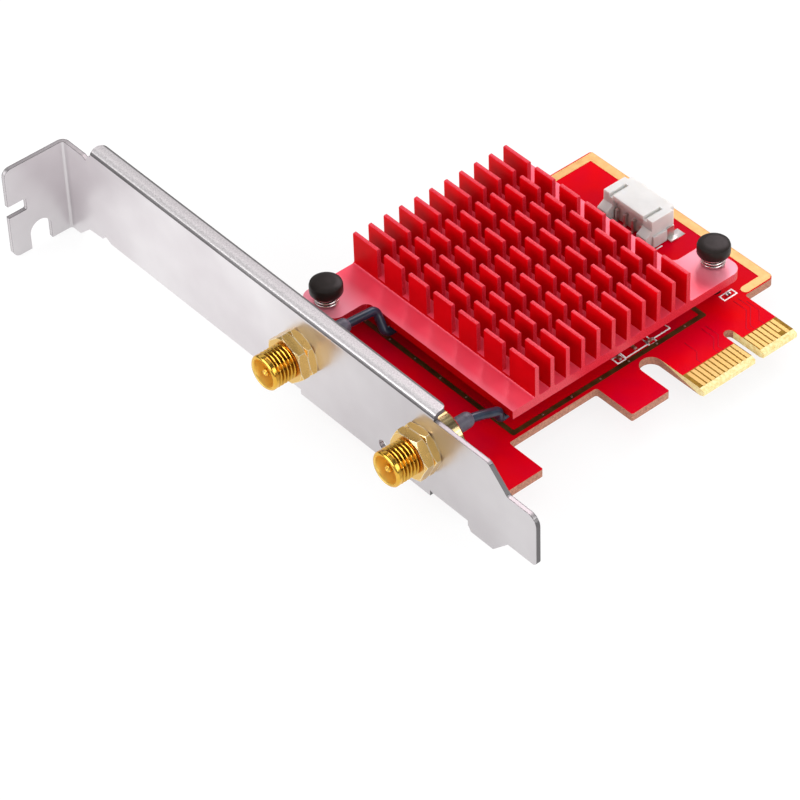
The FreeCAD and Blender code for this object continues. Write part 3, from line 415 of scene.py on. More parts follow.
def moulded(name, dark, light, rough, grain_mm=0.12, depth_mm=0.006, spec=0.5, milky=0.0):
    """Injection moulded plastic with a fine spark-eroded grain. Unfilled nylon is milky: light goes
    about a millimetre into it."""
    material, tree, shader, place = start(name)
    shade, cloud = mottled(tree, place, 3.0, dark, light)
    tree.links.new(shade, shader.inputs["Base Color"])
    grain = put(tree, "ShaderNodeTexNoise", inputs={
        "Vector": place, "Scale": 1 / (grain_mm * MM), "Detail": 2.0})
    tree.links.new(relief(tree, grain.outputs["Fac"], depth_mm), shader.inputs["Normal"])
    tree.links.new(between(tree, cloud, rough - 0.04, rough + 0.06), shader.inputs["Roughness"])
    shader.inputs["Specular IOR Level"].default_value = spec
    shader.inputs["Subsurface Weight"].default_value = milky
    shader.inputs["Subsurface Radius"].default_value = (1.0, 0.9, 0.8)
    shader.inputs["Subsurface Scale"].default_value = 1.5 * MM
    return material


def bright_metal(name, dark, light, rough):
    """Plated or drawn metal, bright, with faint clouds in its polish."""
    material, tree, shader, place = start(name)
    shade, cloud = mottled(tree, place, 1.5, dark, light)
    tree.links.new(shade, shader.inputs["Base Color"])
    shader.inputs["Metallic"].default_value = 1.0
    tree.links.new(between(tree, cloud, rough, rough + 0.12), shader.inputs["Roughness"])
    return material


def shrink_sleeve(colours):
    """Shrunk polyolefin sleeve: dull dark grey with slight rings where it drew down."""
    material, tree, shader, place = start("shrunk_polyolefin")
    grey, cloud = mottled(tree, place, 1.2, "#3E3C48", colours.sleeve)
    tree.links.new(grey, shader.inputs["Base Color"])
    rings = put(tree, "ShaderNodeTexNoise", inputs={
        "Vector": put(tree, "ShaderNodeMapping", inputs={
            "Vector": place, "Scale": (0.4, 1, 0.4)}).outputs[0],
        "Scale": 1 / (0.6 * MM), "Detail": 2.0})
    tree.links.new(relief(tree, rings.outputs["Fac"], 0.05), shader.inputs["Normal"])
    shader.inputs["Roughness"].default_value = 0.42
    return material


def white_ink(colours):
    """Screened white legend ink: matt, thin and slightly uneven."""
    material, tree, shader, place = start("white_legend_ink")
    white, cloud = mottled(tree, place, 0.4, "#F2ECEC", "#FFFFFF")
    tree.links.new(white, shader.inputs["Base Color"])
    shader.inputs["Roughness"].default_value = 0.6
    return material


MATERIALS = {}


def finish(key):
    """The material of that key, made once from the colours in the panel."""
    if not MATERIALS:
        colours = bpy.context.scene.card_colours
        MATERIALS.update({
            "mask": solder_mask(colours),
            "trace": moulded("mask_over_traces", "#B00024", "#BC0020", 0.4, spec=0.1),
            "edge": sawn_laminate(colours),
            "bevel": bevelled_laminate(colours),
            "contact": hard_gold(colours),
            "border": immersion_gold(colours),
            "ring": painted_shade_gold(colours),
            "sheet": plated_sheet(colours),
            "fold": tumbled_fold(colours),
            # Bends and +X ends: the sheet darkened to 0.24 as painted shade
            "rim": plated_sheet(colours, "sheet_painted_dark_rim", 0.24, 0.3),
            # The sheared faces carry a painted dark line of shade along their edges
            "sheared": plated_sheet(colours, "sheared_edge_painted_shade", 0.98, 0.34, 0.8),
            "land": bright_metal("reflowed_tin", "#DCD8D6", "#F2EEEC", 0.55),
            "jack": turned_gold(colours),
            # The bore: pale #FFDC7C gold as painted light in the hollow
            "bore": turned_gold(colours, "bored_gold_painted_light", "#FFDC7C", 0.4),
            # The nuts: #FFF4D2 is a painted highlight along their corners
            "nut": turned_gold(colours, "pale_gold_nut", "#ECC272", 0.2, "#FFF4D2"),
            "sink": red_anodised(colours),
            # The up-facing copy: its pink shades are painted sheen
            "milled": red_anodised(colours, "milled_red_anodised_painted_sheen", "#F4425E", "#FC5068", 1.0, 0.4),
            "sawn": sawn_fins(colours),
            "thread": cut_thread(colours),
            "collar": cut_thread(colours, "knurled_gold_collar", "#E0C48C", "#F0DCA8"),
            "cap": moulded("moulded_black_nylon", "#1A1513", "#241E1C", 0.36, spec=0.2),
            "socket": moulded("black_glass_filled_nylon", "#141414", "#1E1E1E", 0.5),
            "header": moulded("natural_white_nylon", "#C6C8C6", "#CED0CE", 0.4, spec=0.3,
                              milky=0.6),
            "insulator": moulded("white_fluoropolymer", "#ECEAE4", "#F6F4F0", 0.35),
            "jacket": moulded("extruded_cable_jacket", "#101A28", "#24344A", 0.3, 0.2, 0.003),
            "sleeve": shrink_sleeve(colours),
            "module": moulded("dark_solder_mask", "#06201C", "#0A3029", 0.3),
            "pad": moulded("silicone_gap_pad", "#6E7C96", "#8290A8", 0.6),
            "wire": bright_metal("drawn_spring_wire", "#C8C4C0", "#F0ECE8", 0.16),
            "screw": bright_metal("nickel_plated_screw", "#B4B0AC", "#D8D4D0", 0.25),
            "tin": bright_metal("matt_tin_plate", "#C4C2BE", "#E4E2DE", 0.34),
            "can": bright_metal("stamped_tinned_can", "#C0BEBA", "#DCDAD6", 0.38),
            "ink": white_ink(colours),
            "light": moulded("smoked_lamp_resin", "#3A3038", "#4A4046", 0.2),
            "chip": moulded("fired_brown_ceramic", "#6A4E36", "#8A6A4A", 0.45),
            "resistor": moulded("glazed_black_ceramic", "#101010", "#1C1C1C", 0.3),
        })
    return MATERIALS[key]


# Meshes

def add_mesh(name, points, quads, materials, body, replaced=(), slots=None, sharp=None):
    """A finished piece: points in metres in the card's own frame, riding on a body."""
    mesh = bpy.data.meshes.new(name)
    mesh.from_pydata(points.tolist(), [], quads.tolist() if hasattr(quads, "tolist") else quads)
    for material in materials:
        mesh.materials.append(material)
    if slots is not None:
        mesh.polygons.foreach_set("material_index", np.asarray(slots, np.int32))
    mesh.shade_smooth()
    mesh.update()
    if sharp is not None:
        mesh.set_sharp_from_angle(angle=math.radians(sharp))
    piece = bpy.data.objects.new(name, mesh)
    bpy.context.scene.collection.objects.link(piece)
    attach(piece, body)
    if replaced:
        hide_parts(*replaced)
    return piece


def grid_quads(rows, columns, close_rows=False, close_columns=False):
    """Index quads of a grid of rows by columns, either way closed on itself."""
    r = np.arange(rows if close_rows else rows - 1)
    c = np.arange(columns if close_columns else columns - 1)
    i, j = np.meshgrid(r, c, indexing="ij")
    i2 = (i + 1) % rows
    j2 = (j + 1) % columns
    quads = np.stack([i * columns + j, i * columns + j2, i2 * columns + j2, i2 * columns + j], -1)
    return quads.reshape(-1, 4)


def merged(node):
    """Points and triangles of a CAD node with its doubled points made one."""
    mesh = frame["nodes"][node].data
    points = np.zeros(len(mesh.vertices) * 3)
    mesh.vertices.foreach_get("co", points)
    corners = np.zeros(len(mesh.loops), np.int64)
    mesh.loops.foreach_get("vertex_index", corners)
    keys = np.round(points.reshape(-1, 3) * 1e6).astype(np.int64)
    unique, first, back = np.unique(keys, axis=0, return_index=True, return_inverse=True)
    triangles = back.reshape(-1)[corners].reshape(-1, 3)
    whole = (triangles[:, 0] != triangles[:, 1]) & (triangles[:, 1] != triangles[:, 2])
    whole &= triangles[:, 0] != triangles[:, 2]
    return points.reshape(-1, 3)[first], triangles[whole]


def normals_of(points, triangles):
    """Outward unit normal of each triangle: the cross product of two of its sides."""
    a, b, c = (points[triangles[:, k]] for k in range(3))
    n = np.cross(b - a, c - a)
    return n / np.maximum(np.linalg.norm(n, axis=1, keepdims=True), 1e-20)


def dress(node, key, sharp=32, name=None, chooser=None, keys=()):
    """Shows a smooth-shaded, merged copy of a CAD node in a finish. A chooser gives each triangle
    the number of its finish from its normal and its middle."""
    points, triangles = merged(node)
    slots = None
    if chooser is not None:
        middle = points[triangles].mean(axis=1)
        slots = chooser(normals_of(points, triangles), middle)
    materials = [finish(k) for k in (key,) + tuple(keys)]
    return add_mesh(name or node + "_skin", points, triangles, materials, body_of(node), (node,),
                    slots, sharp)


def body_of(node):
    """The CAD body that carries a node."""
    return frame["nodes"][node]["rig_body"]


def middle_of(node):
    """The middle of a CAD node's box, in metres."""
    low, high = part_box(node)
    return (low + high) / 2


def lathe(profile, centre, steps, axis="Y", twist=None):
    """A surface turned about an axis through centre. profile is (distance along, radius) pairs; the
    point at angle t is centre + along * axis + radius * (cos t, sin t) across it. twist, where given,
    is a function of the along and angle grids that adds to the radius."""
    profile = np.asarray(profile, float)
    angle = np.linspace(0, 2 * np.pi, steps, endpoint=False)
    along, turn = np.meshgrid(profile[:, 0], angle, indexing="ij")
    radius = np.repeat(profile[:, 1][:, None], steps, 1)
    if twist is not None:
        radius = radius + twist(along, turn)
    u = radius * np.cos(turn)
    v = radius * np.sin(turn)
    if axis == "Y":
        points = np.stack([u, along, v], -1)
    else:
        points = np.stack([u, v, along], -1)
    return points.reshape(-1, 3) + np.asarray(centre)


def threaded_jack(number):
    """The jack's whole turned body. Its section is closed on itself: bore, lip, barrel, collar and
    ferrule. On the barrel the radius falls by depth * clip(|2 f - 1| * 1.25 - 0.1, 0, 1), where f is
    the fractional part of along / pitch - t / (2 pi), which is a helical thread."""
    sizes = bpy.context.scene.card_sizes
    name = "jack_body_" + number
    low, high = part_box(name)
    nut_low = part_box("jack_front_nut_" + number)[0].y
    centre = (middle_of("jack_pin_" + number).x, 0, middle_of("jack_pin_" + number).z)
    r = 3.175 * MM
    bore = 2.5 * MM
    mouth = low.y
    depth = sizes.thread_depth
    pitch = sizes.thread_pitch
    bevel = 0.35 * MM
    collar_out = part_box("bracket")[1].y
    face_in = -58.59 * MM
    collar_end = face_in + 4.1 * MM
    thread = np.linspace(mouth + bevel, face_in - 0.02 * MM, 150)
    outer = [(mouth, r - bevel), (mouth + bevel * 0.5, r - bevel * 0.35)]
    outer += [(y, r) for y in thread]
    rear = [(face_in, r), (face_in, 4.5 * MM), (face_in + 0.2 * MM, 4.7 * MM),
            (collar_end - 0.3 * MM, 4.7 * MM), (collar_end, 4.4 * MM), (collar_end, 1.0 * MM),
            (high.y, 1.0 * MM), (high.y, 0.71 * MM), (collar_end, 0.71 * MM),
            (collar_end, 1.4 * MM)]
    floor = mouth + 4.6 * MM
    inner = [(floor, 1.4 * MM), (floor, bore), (mouth + 0.3 * MM, bore),
             (mouth + 0.08 * MM, bore + 0.12 * MM), (mouth, bore + 0.18 * MM)]
    profile = np.array(outer + rear + inner)
    threaded = np.zeros(len(profile), bool)
    threaded[2:2 + len(thread)] = True
    mask = threaded[:, None]

    def cut(along, turn):
        f = np.mod(along / pitch - turn / (2 * np.pi), 1.0)
        groove = np.clip(np.abs(2 * f - 1) * 1.3 - 0.15, 0, 1)
        fade = np.clip((along - mouth - 0.9 * MM) / (0.4 * MM), 0, 1)
        return -depth * groove * fade * mask

    steps = 96
    points = lathe(profile, centre, steps, "Y", cut)
    quads = grid_quads(len(profile), steps, True, True)
    first_inner = len(outer) + len(rear)
    slots = np.zeros((len(profile), steps), np.int32)
    # Slot 1, the bore, takes the gold painted paler as light
    slots[first_inner - 1:-1] = 1
    slots[len(outer):len(outer) + 5] = 2
    piece = add_mesh("jack_" + number + "_turned", points, quads,
                     [finish("thread"), finish("bore"), finish("collar")], "card", (name,),
                     slots.ravel(), 40)
    # Depth down in the thread, which the finish shows as painted shade
    across = points - np.asarray(centre)
    radius = np.hypot(across[:, 0], across[:, 2])
    deep = np.clip((r - radius) / depth, 0, 1) * np.repeat(threaded, steps)
    # Painted knurl shade on the collar: every other line of points is darkened as if in a groove
    knurl = np.zeros((len(profile), steps))
    knurl[len(outer) + 1:len(outer) + 5, ::2] = 0.5
    deep = deep + knurl.ravel()
    piece.data.attributes.new("groove", "FLOAT", "POINT").data.foreach_set("value", deep)
    return piece


def wound_spring(number):
    """A round wire on a helix: the middle is (R cos t, R sin t, z0 + rise(t)), with the first and last
    half turn flat, and the wire's own circle of radius r stands across it."""
    sizes = bpy.context.scene.card_sizes
    node = "pin_spring_" + number
    low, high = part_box(node)
    wire = 0.2 * MM
    ring = 1.88 * MM
    turns = sizes.spring_turns
    t = np.linspace(0, 2 * np.pi * turns, 40 * turns + 1)
    s = t / t[-1]
    ground = 0.12
    share = np.clip((s - ground) / (1 - 2 * ground), 0, 1)
    bottom = low.z + 0.005 * MM
    z = bottom + wire + (high.z - low.z - 2 * wire) * (share * 0.8 + s * 0.2)
    centre = middle_of(node)
    a = np.linspace(0, 2 * np.pi, 12, endpoint=False)
    tt, aa = np.meshgrid(t, a, indexing="ij")
    zz = np.repeat(z[:, None], len(a), 1)
    reach = ring + wire * np.cos(aa)
    points = np.stack([centre.x + reach * np.cos(tt), centre.y + reach * np.sin(tt),
                       zz + wire * np.sin(aa)], -1).reshape(-1, 3)
    columns = len(a)
    quads = grid_quads(len(t), columns, False, True).tolist()
    caps = [list(range(columns)), list(range(len(points) - columns, len(points)))[::-1]]
    piece = add_mesh("spring_" + number + "_wound", points, quads + caps, [finish("wire")], "card",
                     (node,), None, 50)
    turn_faces_out(piece)
    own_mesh(piece)
    return piece


def bent_path(corners, bends):
    """A line through corners with an arc at each inner one. For the angle 2 h between its two sides, an
    arc of radius R touches them R / tan(h) from the corner; R is cut where a side is too short."""
    corners = [np.asarray(c, float) for c in corners]
    path = [corners[0]]
    for before, corner, after, bend in zip(corners, corners[1:], corners[2:], bends):
        a, b = before - corner, after - corner
        room = 0.48 * min(np.linalg.norm(a), np.linalg.norm(b))
        a, b = a / np.linalg.norm(a), b / np.linalg.norm(b)
        half = math.acos(np.clip(a @ b, -1, 1)) / 2
        reach = min(bend / math.tan(half), room)
        radius = reach * math.tan(half)
        middle = corner + (a + b) / np.linalg.norm(a + b) * radius / math.sin(half)
        first, last = corner + a * reach - middle, corner + b * reach - middle
        turn = math.pi - 2 * half
        for k in np.linspace(0, 1, 13):
            share = math.sin((1 - k) * turn), math.sin(k * turn)
            path.append(middle + (first * share[0] + last * share[1]) / math.sin(turn))
    path.append(corners[-1])
    return np.array(path)


def tube(path, radius, steps=28):
    """A round section carried along a path without twist: each ring's first direction is the one
    before it with its part along the path taken away."""
    way = np.gradient(path, axis=0)
    way /= np.linalg.norm(way, axis=1, keepdims=True)
    side = np.cross(way[0], (0.0, 0.0, 1.0))
    angle = np.linspace(0, 2 * np.pi, steps, endpoint=False)[:, None]
    rings = []
    for point, ahead in zip(path, way):
        side = side - ahead * (side @ ahead)
        side = side / np.linalg.norm(side)
        up = np.cross(side, ahead)
        rings.append(point + radius * (np.cos(angle) * side + np.sin(angle) * up))
    quads = grid_quads(len(path), steps, False, True).tolist()
    last = len(path) * steps
    ends = [list(range(steps)), list(range(last - steps, last))[::-1]]
    return np.concatenate(rings), quads + ends


def routed_cable(number):
    """A cable's round jacket from its jack, down past the heat sink's edge and under it to its plug,
    through corners set out from the boxes of the pieces it passes."""
    node = "coax_" + number
    low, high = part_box(node)
    jack = middle_of("jack_pin_" + number)
    first = low.y
    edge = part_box("heat_sink")[0].y + 7.4 * MM - 0.72 * MM
    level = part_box("module_board")[1].z + 0.745 * MM
    top = high.z - 0.7 * MM
    x = jack.x
    plug = middle_of("coax_plug_" + number).x
    end = high.y
    near = end - 2.5 * MM
    if number == "1":
        middle = [(x, edge - 0.3 * MM, top - 0.5 * MM),
                  (x + 2.2 * MM, edge - 0.25 * MM, level + 0.1 * MM),
                  (x + 2.3 * MM, edge + 3.4 * MM, level)]
    else:
        middle = [(x, edge - 0.3 * MM, top - 2.3 * MM),
                  (x - 0.2 * MM, edge - 0.1 * MM, level + 0.1 * MM),
                  (x - 0.6 * MM, edge + 3.6 * MM, level)]
    corners = [(x, first, jack.z), (x, first + 4.8 * MM, jack.z)] + middle
    corners += [(plug, near, level), (plug, end, level)]
    path = bent_path(corners, [20 * MM, 1.0 * MM, 1.0 * MM, 1.5 * MM, 1.5 * MM])
    points, quads = tube(path, 0.8 * MM)
    piece = add_mesh(node + "_routed", points, quads, [finish("jacket")], "card", (node,), None, 50)
    turn_faces_out(piece)
    return piece


def drawn_sleeve(number):
    """A shrunk sleeve: straight over the crimp, then drawn down on the cable in a round shoulder."""
    node = "heat_shrink_" + number
    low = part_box(node)[0]
    jack = middle_of("jack_pin_" + number)
    wall = ((0.0, 1.42), (1.2, 1.40), (2.6, 1.41), (3.9, 1.38), (4.2, 1.33), (4.5, 1.18),
            (4.7, 1.0), (4.76, 0.9), (4.7, 0.81), (0.0, 1.02))
    profile = [(low.y + a * MM, b * MM) for a, b in wall]
    points = lathe(profile, (jack.x, 0, jack.z), 40)
    quads = grid_quads(len(profile), 40, True, True)
    piece = add_mesh(node + "_drawn", points, quads, [finish("sleeve")], "card", (node,), None, 45)
    turn_faces_out(piece)
    return piece


def turn_faces_out(piece):
    """Points every face of a closed piece outwards."""
    import bmesh
    work = bmesh.new()
    work.from_mesh(piece.data)
    bmesh.ops.recalc_face_normals(work, faces=work.faces)
    work.to_mesh(piece.data)
    work.free()


def ribbon(path, width, height, level):
    """A flat strip along a path: at each point the section (-w/2, 0), (-w/2, h), (w/2, h), (w/2, 0) is
    set across the path's direction. Returns points and quads of a closed strip."""
    path = np.asarray(path, float)
    way = np.gradient(path, axis=0)
    way /= np.linalg.norm(way, axis=1, keepdims=True)
    side = np.stack([-way[:, 1], way[:, 0]], -1)
    u = np.array([-0.5, -0.5, 0.5, 0.5]) * width
    w = np.array([0, 1, 1, 0]) * height
    xy = path[:, None, :] + side[:, None, :] * u[None, :, None]
    z = np.broadcast_to(level + w, xy.shape[:2])
    points = np.concatenate([xy, z[..., None]], -1).reshape(-1, 3)
    quads = grid_quads(len(path), 4, False, True)
    ends = np.array([[0, 1, 2, 3], [len(points) - 1, len(points) - 2, len(points) - 3,
                                    len(points) - 4]])
    return points, np.concatenate([quads[:, ::-1], ends])


def loop_ribbon(corners, width, height, level):
    """A closed flat frame through corners: its outer and inner edge are the corners moved out and in
    by half the width along the mean of the two sides' normals, scaled so that the width stays even."""
    path = np.asarray(corners, float)
    ahead = np.roll(path, -1, 0) - path
    ahead /= np.linalg.norm(ahead, axis=1, keepdims=True)
    behind = np.roll(ahead, 1, 0)
    normal = np.stack([-(ahead[:, 1] + behind[:, 1]), ahead[:, 0] + behind[:, 0]], -1)
    normal /= np.linalg.norm(normal, axis=1, keepdims=True)
    across = np.stack([-ahead[:, 1], ahead[:, 0]], -1)
    normal /= np.sum(normal * across, 1, keepdims=True)
    u = np.array([-0.5, -0.5, 0.5, 0.5]) * width
    w = np.array([0, 1, 1, 0]) * height
    xy = path[:, None, :] + normal[:, None, :] * u[None, :, None]
    z = np.broadcast_to(level + w, xy.shape[:2])
    points = np.concatenate([xy, z[..., None]], -1).reshape(-1, 3)
    return points, grid_quads(len(path), 4, True, True)[:, ::-1]


def gather(parts):
    """Several point and face sets as one."""
    points, quads, count = [], [], 0
    for p, q in parts:
        points.append(p)
        quads.append(q + count)
        count += len(p)
    return np.concatenate(points), np.concatenate(quads)


def rounded_bar(centre, length, width, height, lengthwise, swell=0.0, round_share=0.22):
    """A bar with rounded edges along X or Y: the section is a superellipse of power 6, and its ends
    close on a smaller section."""
    a = np.linspace(0, 2 * np.pi, 24, endpoint=False) + np.pi / 24
    c, s = np.cos(a), np.sin(a)
    power = 2 / 6
    u = np.sign(c) * np.abs(c) ** power * width / 2
    w = np.sign(s) * np.abs(s) ** power * height / 2
    stations = np.array([-0.5, -0.5, -0.47, -0.24, -0.24, 0.24, 0.24, 0.47, 0.5, 0.5]) * length
    size = np.array([0.0, 0.9, 1.0, 1.0, 1.0 - swell, 1.0 - swell, 1.0, 1.0, 0.9, 0.0])
    along = np.repeat(stations[:, None], 24, 1)
    uu = size[:, None] * u[None, :]
    ww = size[:, None] * w[None, :]
    first, second = (along, uu) if lengthwise == "X" else (uu, along)
    points = np.stack([first + centre[0], second + centre[1], ww + centre[2]], -1)
    quads = grid_quads(len(stations), 24, False, True)
    slots = np.repeat(np.array([1, 1, 1, 1, 0, 1, 1, 1, 1]), 24)
    return points.reshape(-1, 3), quads, slots


# Operators: one for each piece or group of like pieces

class CARD_OT_board(bpy.types.Operator):
    """The board: red mask on both faces, tan sawn edges and the pale ground bevel"""
    bl_idname = "card.board"
    bl_label = "Board"

    def execute(self, context):
        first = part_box("contacts_front")[0].y - 1.5 * MM

        def chooser(normal, middle):
            upright = np.abs(normal[:, 2])
            slots = np.zeros(len(normal), np.int32)
            slots[upright < 0.5] = 1
            slots[(upright >= 0.5) & (upright < 0.99)] = 2
            gold = (middle[:, 0] > -6 * MM) & (middle[:, 1] > first)
            slots[(upright < 0.5) & gold] = 2
            return slots
        dress("pcb", "mask", 30, "board", chooser, ("edge", "bevel"))
        return {"FINISHED"}


class CARD_OT_contacts(bpy.types.Operator):
    """Gold contacts, the bare border and the frame darkened with painted shade, with its row of small
    holes
    """
    bl_idname = "card.contacts"
    bl_label = "Contacts and bare copper"

    def execute(self, context):
        for node, key in (("contacts_front", "contact"), ("contacts_back", "contact"),
                          ("copper_border", "border"), ("copper_ring", "ring")):
            dress(node, key)
        low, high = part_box("copper_ring")
        inset = 0.5 * MM
        gap = context.scene.card_sizes.hole_spacing
        x = np.arange(low.x + inset, high.x - inset / 2, gap)
        y = np.arange(low.y + inset, high.y - inset / 2, gap)
        places = [(a, low.y + inset) for a in x] + [(a, high.y - inset) for a in x]
        places += [(low.x + inset, b) for b in y[1:]] + [(high.x - inset, b) for b in y[1:]]
        parts = []
        profile = [(high.z, 0.19 * MM), (high.z + 0.012 * MM, 0.19 * MM),
                   (high.z + 0.02 * MM, 0.13 * MM), (high.z + 0.004 * MM, 0.08 * MM)]
        for a, b in places:
            points = lathe(profile, (a, b, 0), 12, "Z")
            parts.append((points, grid_quads(len(profile), 12, False, True)))
        points, quads = gather(parts)
        piece = add_mesh("frame_holes", points, quads, [finish("tin")], "card")
        turn_faces_out(piece)
        return {"FINISHED"}


class CARD_OT_print(bpy.types.Operator):
    """Plain white outlines around the small parts and the header, and a pin mark"""
    bl_idname = "card.print"
    bl_label = "White outlines"

    def execute(self, context):
        level = 0.002 * MM
        line = context.scene.card_sizes.ink_line
        height = 0.015 * MM
        parts = []
        for x, y, a, b in ((-14.8, -17.5, 1.5, 1.7), (-15.1, -13.9, 1.7, 5.0),
                           (-14.3, -10.7, 1.1, 1.6), (-15.4, -8.3, 1.5, 4.2),
                           (-14.1, 6.6, 1.3, 2.8)):
            corners = [(x - a / 2, y - b / 2), (x + a / 2, y - b / 2), (x + a / 2, y + b / 2),
                       (x - a / 2, y + b / 2)]
            parts.append(loop_ribbon(np.array(corners) * MM, line, height, level))
        low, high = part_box("header_housing")
        side = high.x + 0.35 * MM
        path = np.array([(side, low.y + 3.1 * MM), (side, low.y + 1.7 * MM)])
        parts.append(ribbon(path, line, height, level))
        mark = np.array([(side + 0.9 * MM, low.y + 0.4 * MM), (side + 1.5 * MM, low.y + 0.4 * MM),
                         (side + 1.2 * MM, low.y + 1.0 * MM)])
        parts.append(loop_ribbon(mark, line, height, level))
        points, quads = gather(parts)
        self.traces()
        piece = add_mesh("white_outlines", points, quads, [finish("ink")], "card")
        turn_faces_out(piece)
        corner = high.x - 0.2 * MM, high.y - 2.6 * MM
        path = np.array([corner, (corner[0], corner[1] + 3.3 * MM)])
        points, quads = ribbon(path, 1.9 * MM, 0.03 * MM, level)
        turn_faces_out(add_mesh("solder_land", points, quads, [finish("land")], "card"))
        return {"FINISHED"}


    def traces(self):
        """Signal lines in pairs from the contacts, each straight and then at 45 degrees, standing
        0.01 mm proud under the mask"""
        low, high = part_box("contacts_front")
        parts = []
        for y, lean, reach in ((3.0, 1, 4.0), (4.0, 1, 4.0), (6.0, 1, 2.2), (-3.4, 1, 2.4),
                               (-4.4, 1, 2.4), (-8.2, 1, 1.6)):
            start = np.array([low.x + 0.2 * MM, y * MM])
            turn = start - np.array([1.6 * MM, 0])
            end = turn + np.array([-reach, lean * reach]) * 0.8 * MM
            last = end - np.array([3.0 * MM, 0])
            parts.append(ribbon(np.array([start, turn, end, last]), 0.16 * MM, 0.011 * MM,
                                0.001 * MM))
        points, quads = gather(parts)
        turn_faces_out(add_mesh("signal_traces", points, quads, [finish("trace")], "card"))


class CARD_OT_bracket(bpy.types.Operator):
    """The folded slot bracket and its two screws"""
    bl_idname = "card.bracket"
    bl_label = "Bracket"

    def execute(self, context):
        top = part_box("bracket")[1].z
        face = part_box("jack_back_nut_1")[1].y

        def chooser(normal, middle):
            slots = np.zeros(len(normal), np.int32)
            flat = np.abs(normal).max(axis=1) > 0.995
            lip = (normal[:, 2] > 0.6) & (middle[:, 2] > top - 1.3 * MM)
            bend = ~flat & (normal[:, 2] > 0.3) & (normal[:, 2] <= 0.6)
            slots[lip] = 1
            # Slot 2, the front-facing bends and the +X ends, is painted dark as shade
            slots[bend & (normal[:, 1] < -0.3)] = 2
            end = (normal[:, 0] > 0.6) & (middle[:, 0] > -15 * MM)
            slots[end] = 2
            thick = (middle[:, 1] > face - 0.1 * MM) & (middle[:, 1] < face + 1.0 * MM)
            tab = (middle[:, 0] < -107.6 * MM) & (np.abs(normal[:, 0]) < 0.3)
            # Slot 3, the top of the sheet's thickness and the tab: the painted dark edge line
            slots[((normal[:, 2] > 0.3) & thick & (slots == 0)) | tab] = 3
            return slots
        dress("bracket", "sheet", 30, None, chooser, ("fold", "rim", "sheared"))
        dress("bracket_screws", "screw", 30)
        return {"FINISHED"}


class CARD_OT_jacks(bpy.types.Operator):
    """The two antenna jacks with cut threads, insulators, centre pins and nuts"""
    bl_idname = "card.jacks"
    bl_label = "Antenna jacks"

    def execute(self, context):
        for number in "12":
            piece = threaded_jack(number)
            turn_faces_out(piece)
            dress("jack_insulator_" + number, "insulator")
            dress("jack_pin_" + number, "jack")
            dress("jack_back_nut_" + number, "nut", 25)
            dress("jack_front_nut_" + number, "nut", 25)
        return {"FINISHED"}


class CARD_OT_heat_sink(bpy.types.Operator):
    """The red finned heat sink"""
    bl_idname = "card.heat_sink"
    bl_label = "Heat sink"

    def execute(self, context):
        low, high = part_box("heat_sink")

        def chooser(normal, middle):
            slots = np.zeros(len(normal), np.int32)
            # Up-facing faces take the copy with painted pink sheen
            slots[normal[:, 2] > 0.7] = 1
            # Crests and ends take the paler fin finish, painted sheen
            crest = (normal[:, 2] > 0.7) & (middle[:, 2] > high.z - 1.0 * MM)
            ends = np.abs(normal[:, 0]) > 0.7
            slots[crest | ends] = 2
            return slots
        dress("heat_sink", "sink", 28, None, chooser, ("milled", "sawn"))
        return {"FINISHED"}


class CARD_OT_pins(bpy.types.Operator):
    """The two black push pins and their wound springs"""
    bl_idname = "card.pins"
    bl_label = "Push pins and springs"

    def execute(self, context):
        for number in "12":
            dress("push_pin_" + number, "cap", 35)
            wound_spring(number)
        return {"FINISHED"}


class CARD_OT_cables(bpy.types.Operator):
    """Antenna cables, shrunk sleeves and their plugs"""
    bl_idname = "card.cables"
    bl_label = "Cables"

    def execute(self, context):
        for number in "12":
            routed_cable(number)
            drawn_sleeve(number)
            dress("coax_plug_" + number, "jack", 35)
        return {"FINISHED"}


class CARD_OT_module(bpy.types.Operator):
    """The radio module, its socket, post, screw and pad"""
    bl_idname = "card.module"
    bl_label = "Radio module"

    def execute(self, context):
        for node, key in (("module_board", "module"), ("module_shield", "can"),
                          ("thermal_pad", "pad"), ("module_jacks", "jack"),
                          ("m2_socket", "socket"), ("m2_socket_leads", "tin"),
                          ("m2_standoff", "screw"), ("m2_screw", "screw")):
            dress(node, key)
        return {"FINISHED"}


class CARD_OT_header(bpy.types.Operator):
    """The white header with its bent pins and solder tabs"""
    bl_idname = "card.header"
    bl_label = "Header"

    def execute(self, context):
        dress("header_housing", "header", 25)
        dress("header_pins", "tin", 40)
        dress("header_tabs", "tin", 25)
        return {"FINISHED"}


class CARD_OT_chips(bpy.types.Operator):
    """Small capacitors and resistors with soldered ends, and the status light"""
    bl_idname = "card.chips"
    bl_label = "Small parts"

    def execute(self, context):
        groups = (("chip_capacitors", "chip", ((-14.8, -17.5, "X"), (-15.1, -13.9, "X"),
                                               (-14.5, -10.9, "Y")), 0.5),
                  ("chip_resistors", "resistor", ((-14.1, 6.6, "Y"), (-21.6, -55.4, "X")), 0.35))
        for node, key, places, height in groups:
            sets, slots = [], []
            for x, y, way in places:
                centre = (x * MM, y * MM, height / 2 * MM)
                points, quads, face_slots = rounded_bar(centre, 1.0 * MM, 0.5 * MM, height * MM,
                                                        way, 0.04)
                sets.append((points, quads))
                slots.append(face_slots)
            points, quads = gather(sets)
            piece = add_mesh(node + "_soldered", points, quads, [finish(key), finish("tin")],
                             "card", (node,), np.concatenate(slots), 40)
            turn_faces_out(piece)
        dress("status_light", "light")
        return {"FINISHED"}


class CARD_OT_stage(bpy.types.Operator):
    """Floor, world, lamps and the camera"""
    bl_idname = "card.stage"
    bl_label = "Stage"

    def execute(self, context):
        stage = context.scene.card_stage
        make_camera(stage)
        make_lamps(stage)
        make_floor(stage)
        return {"FINISHED"}


# Stage

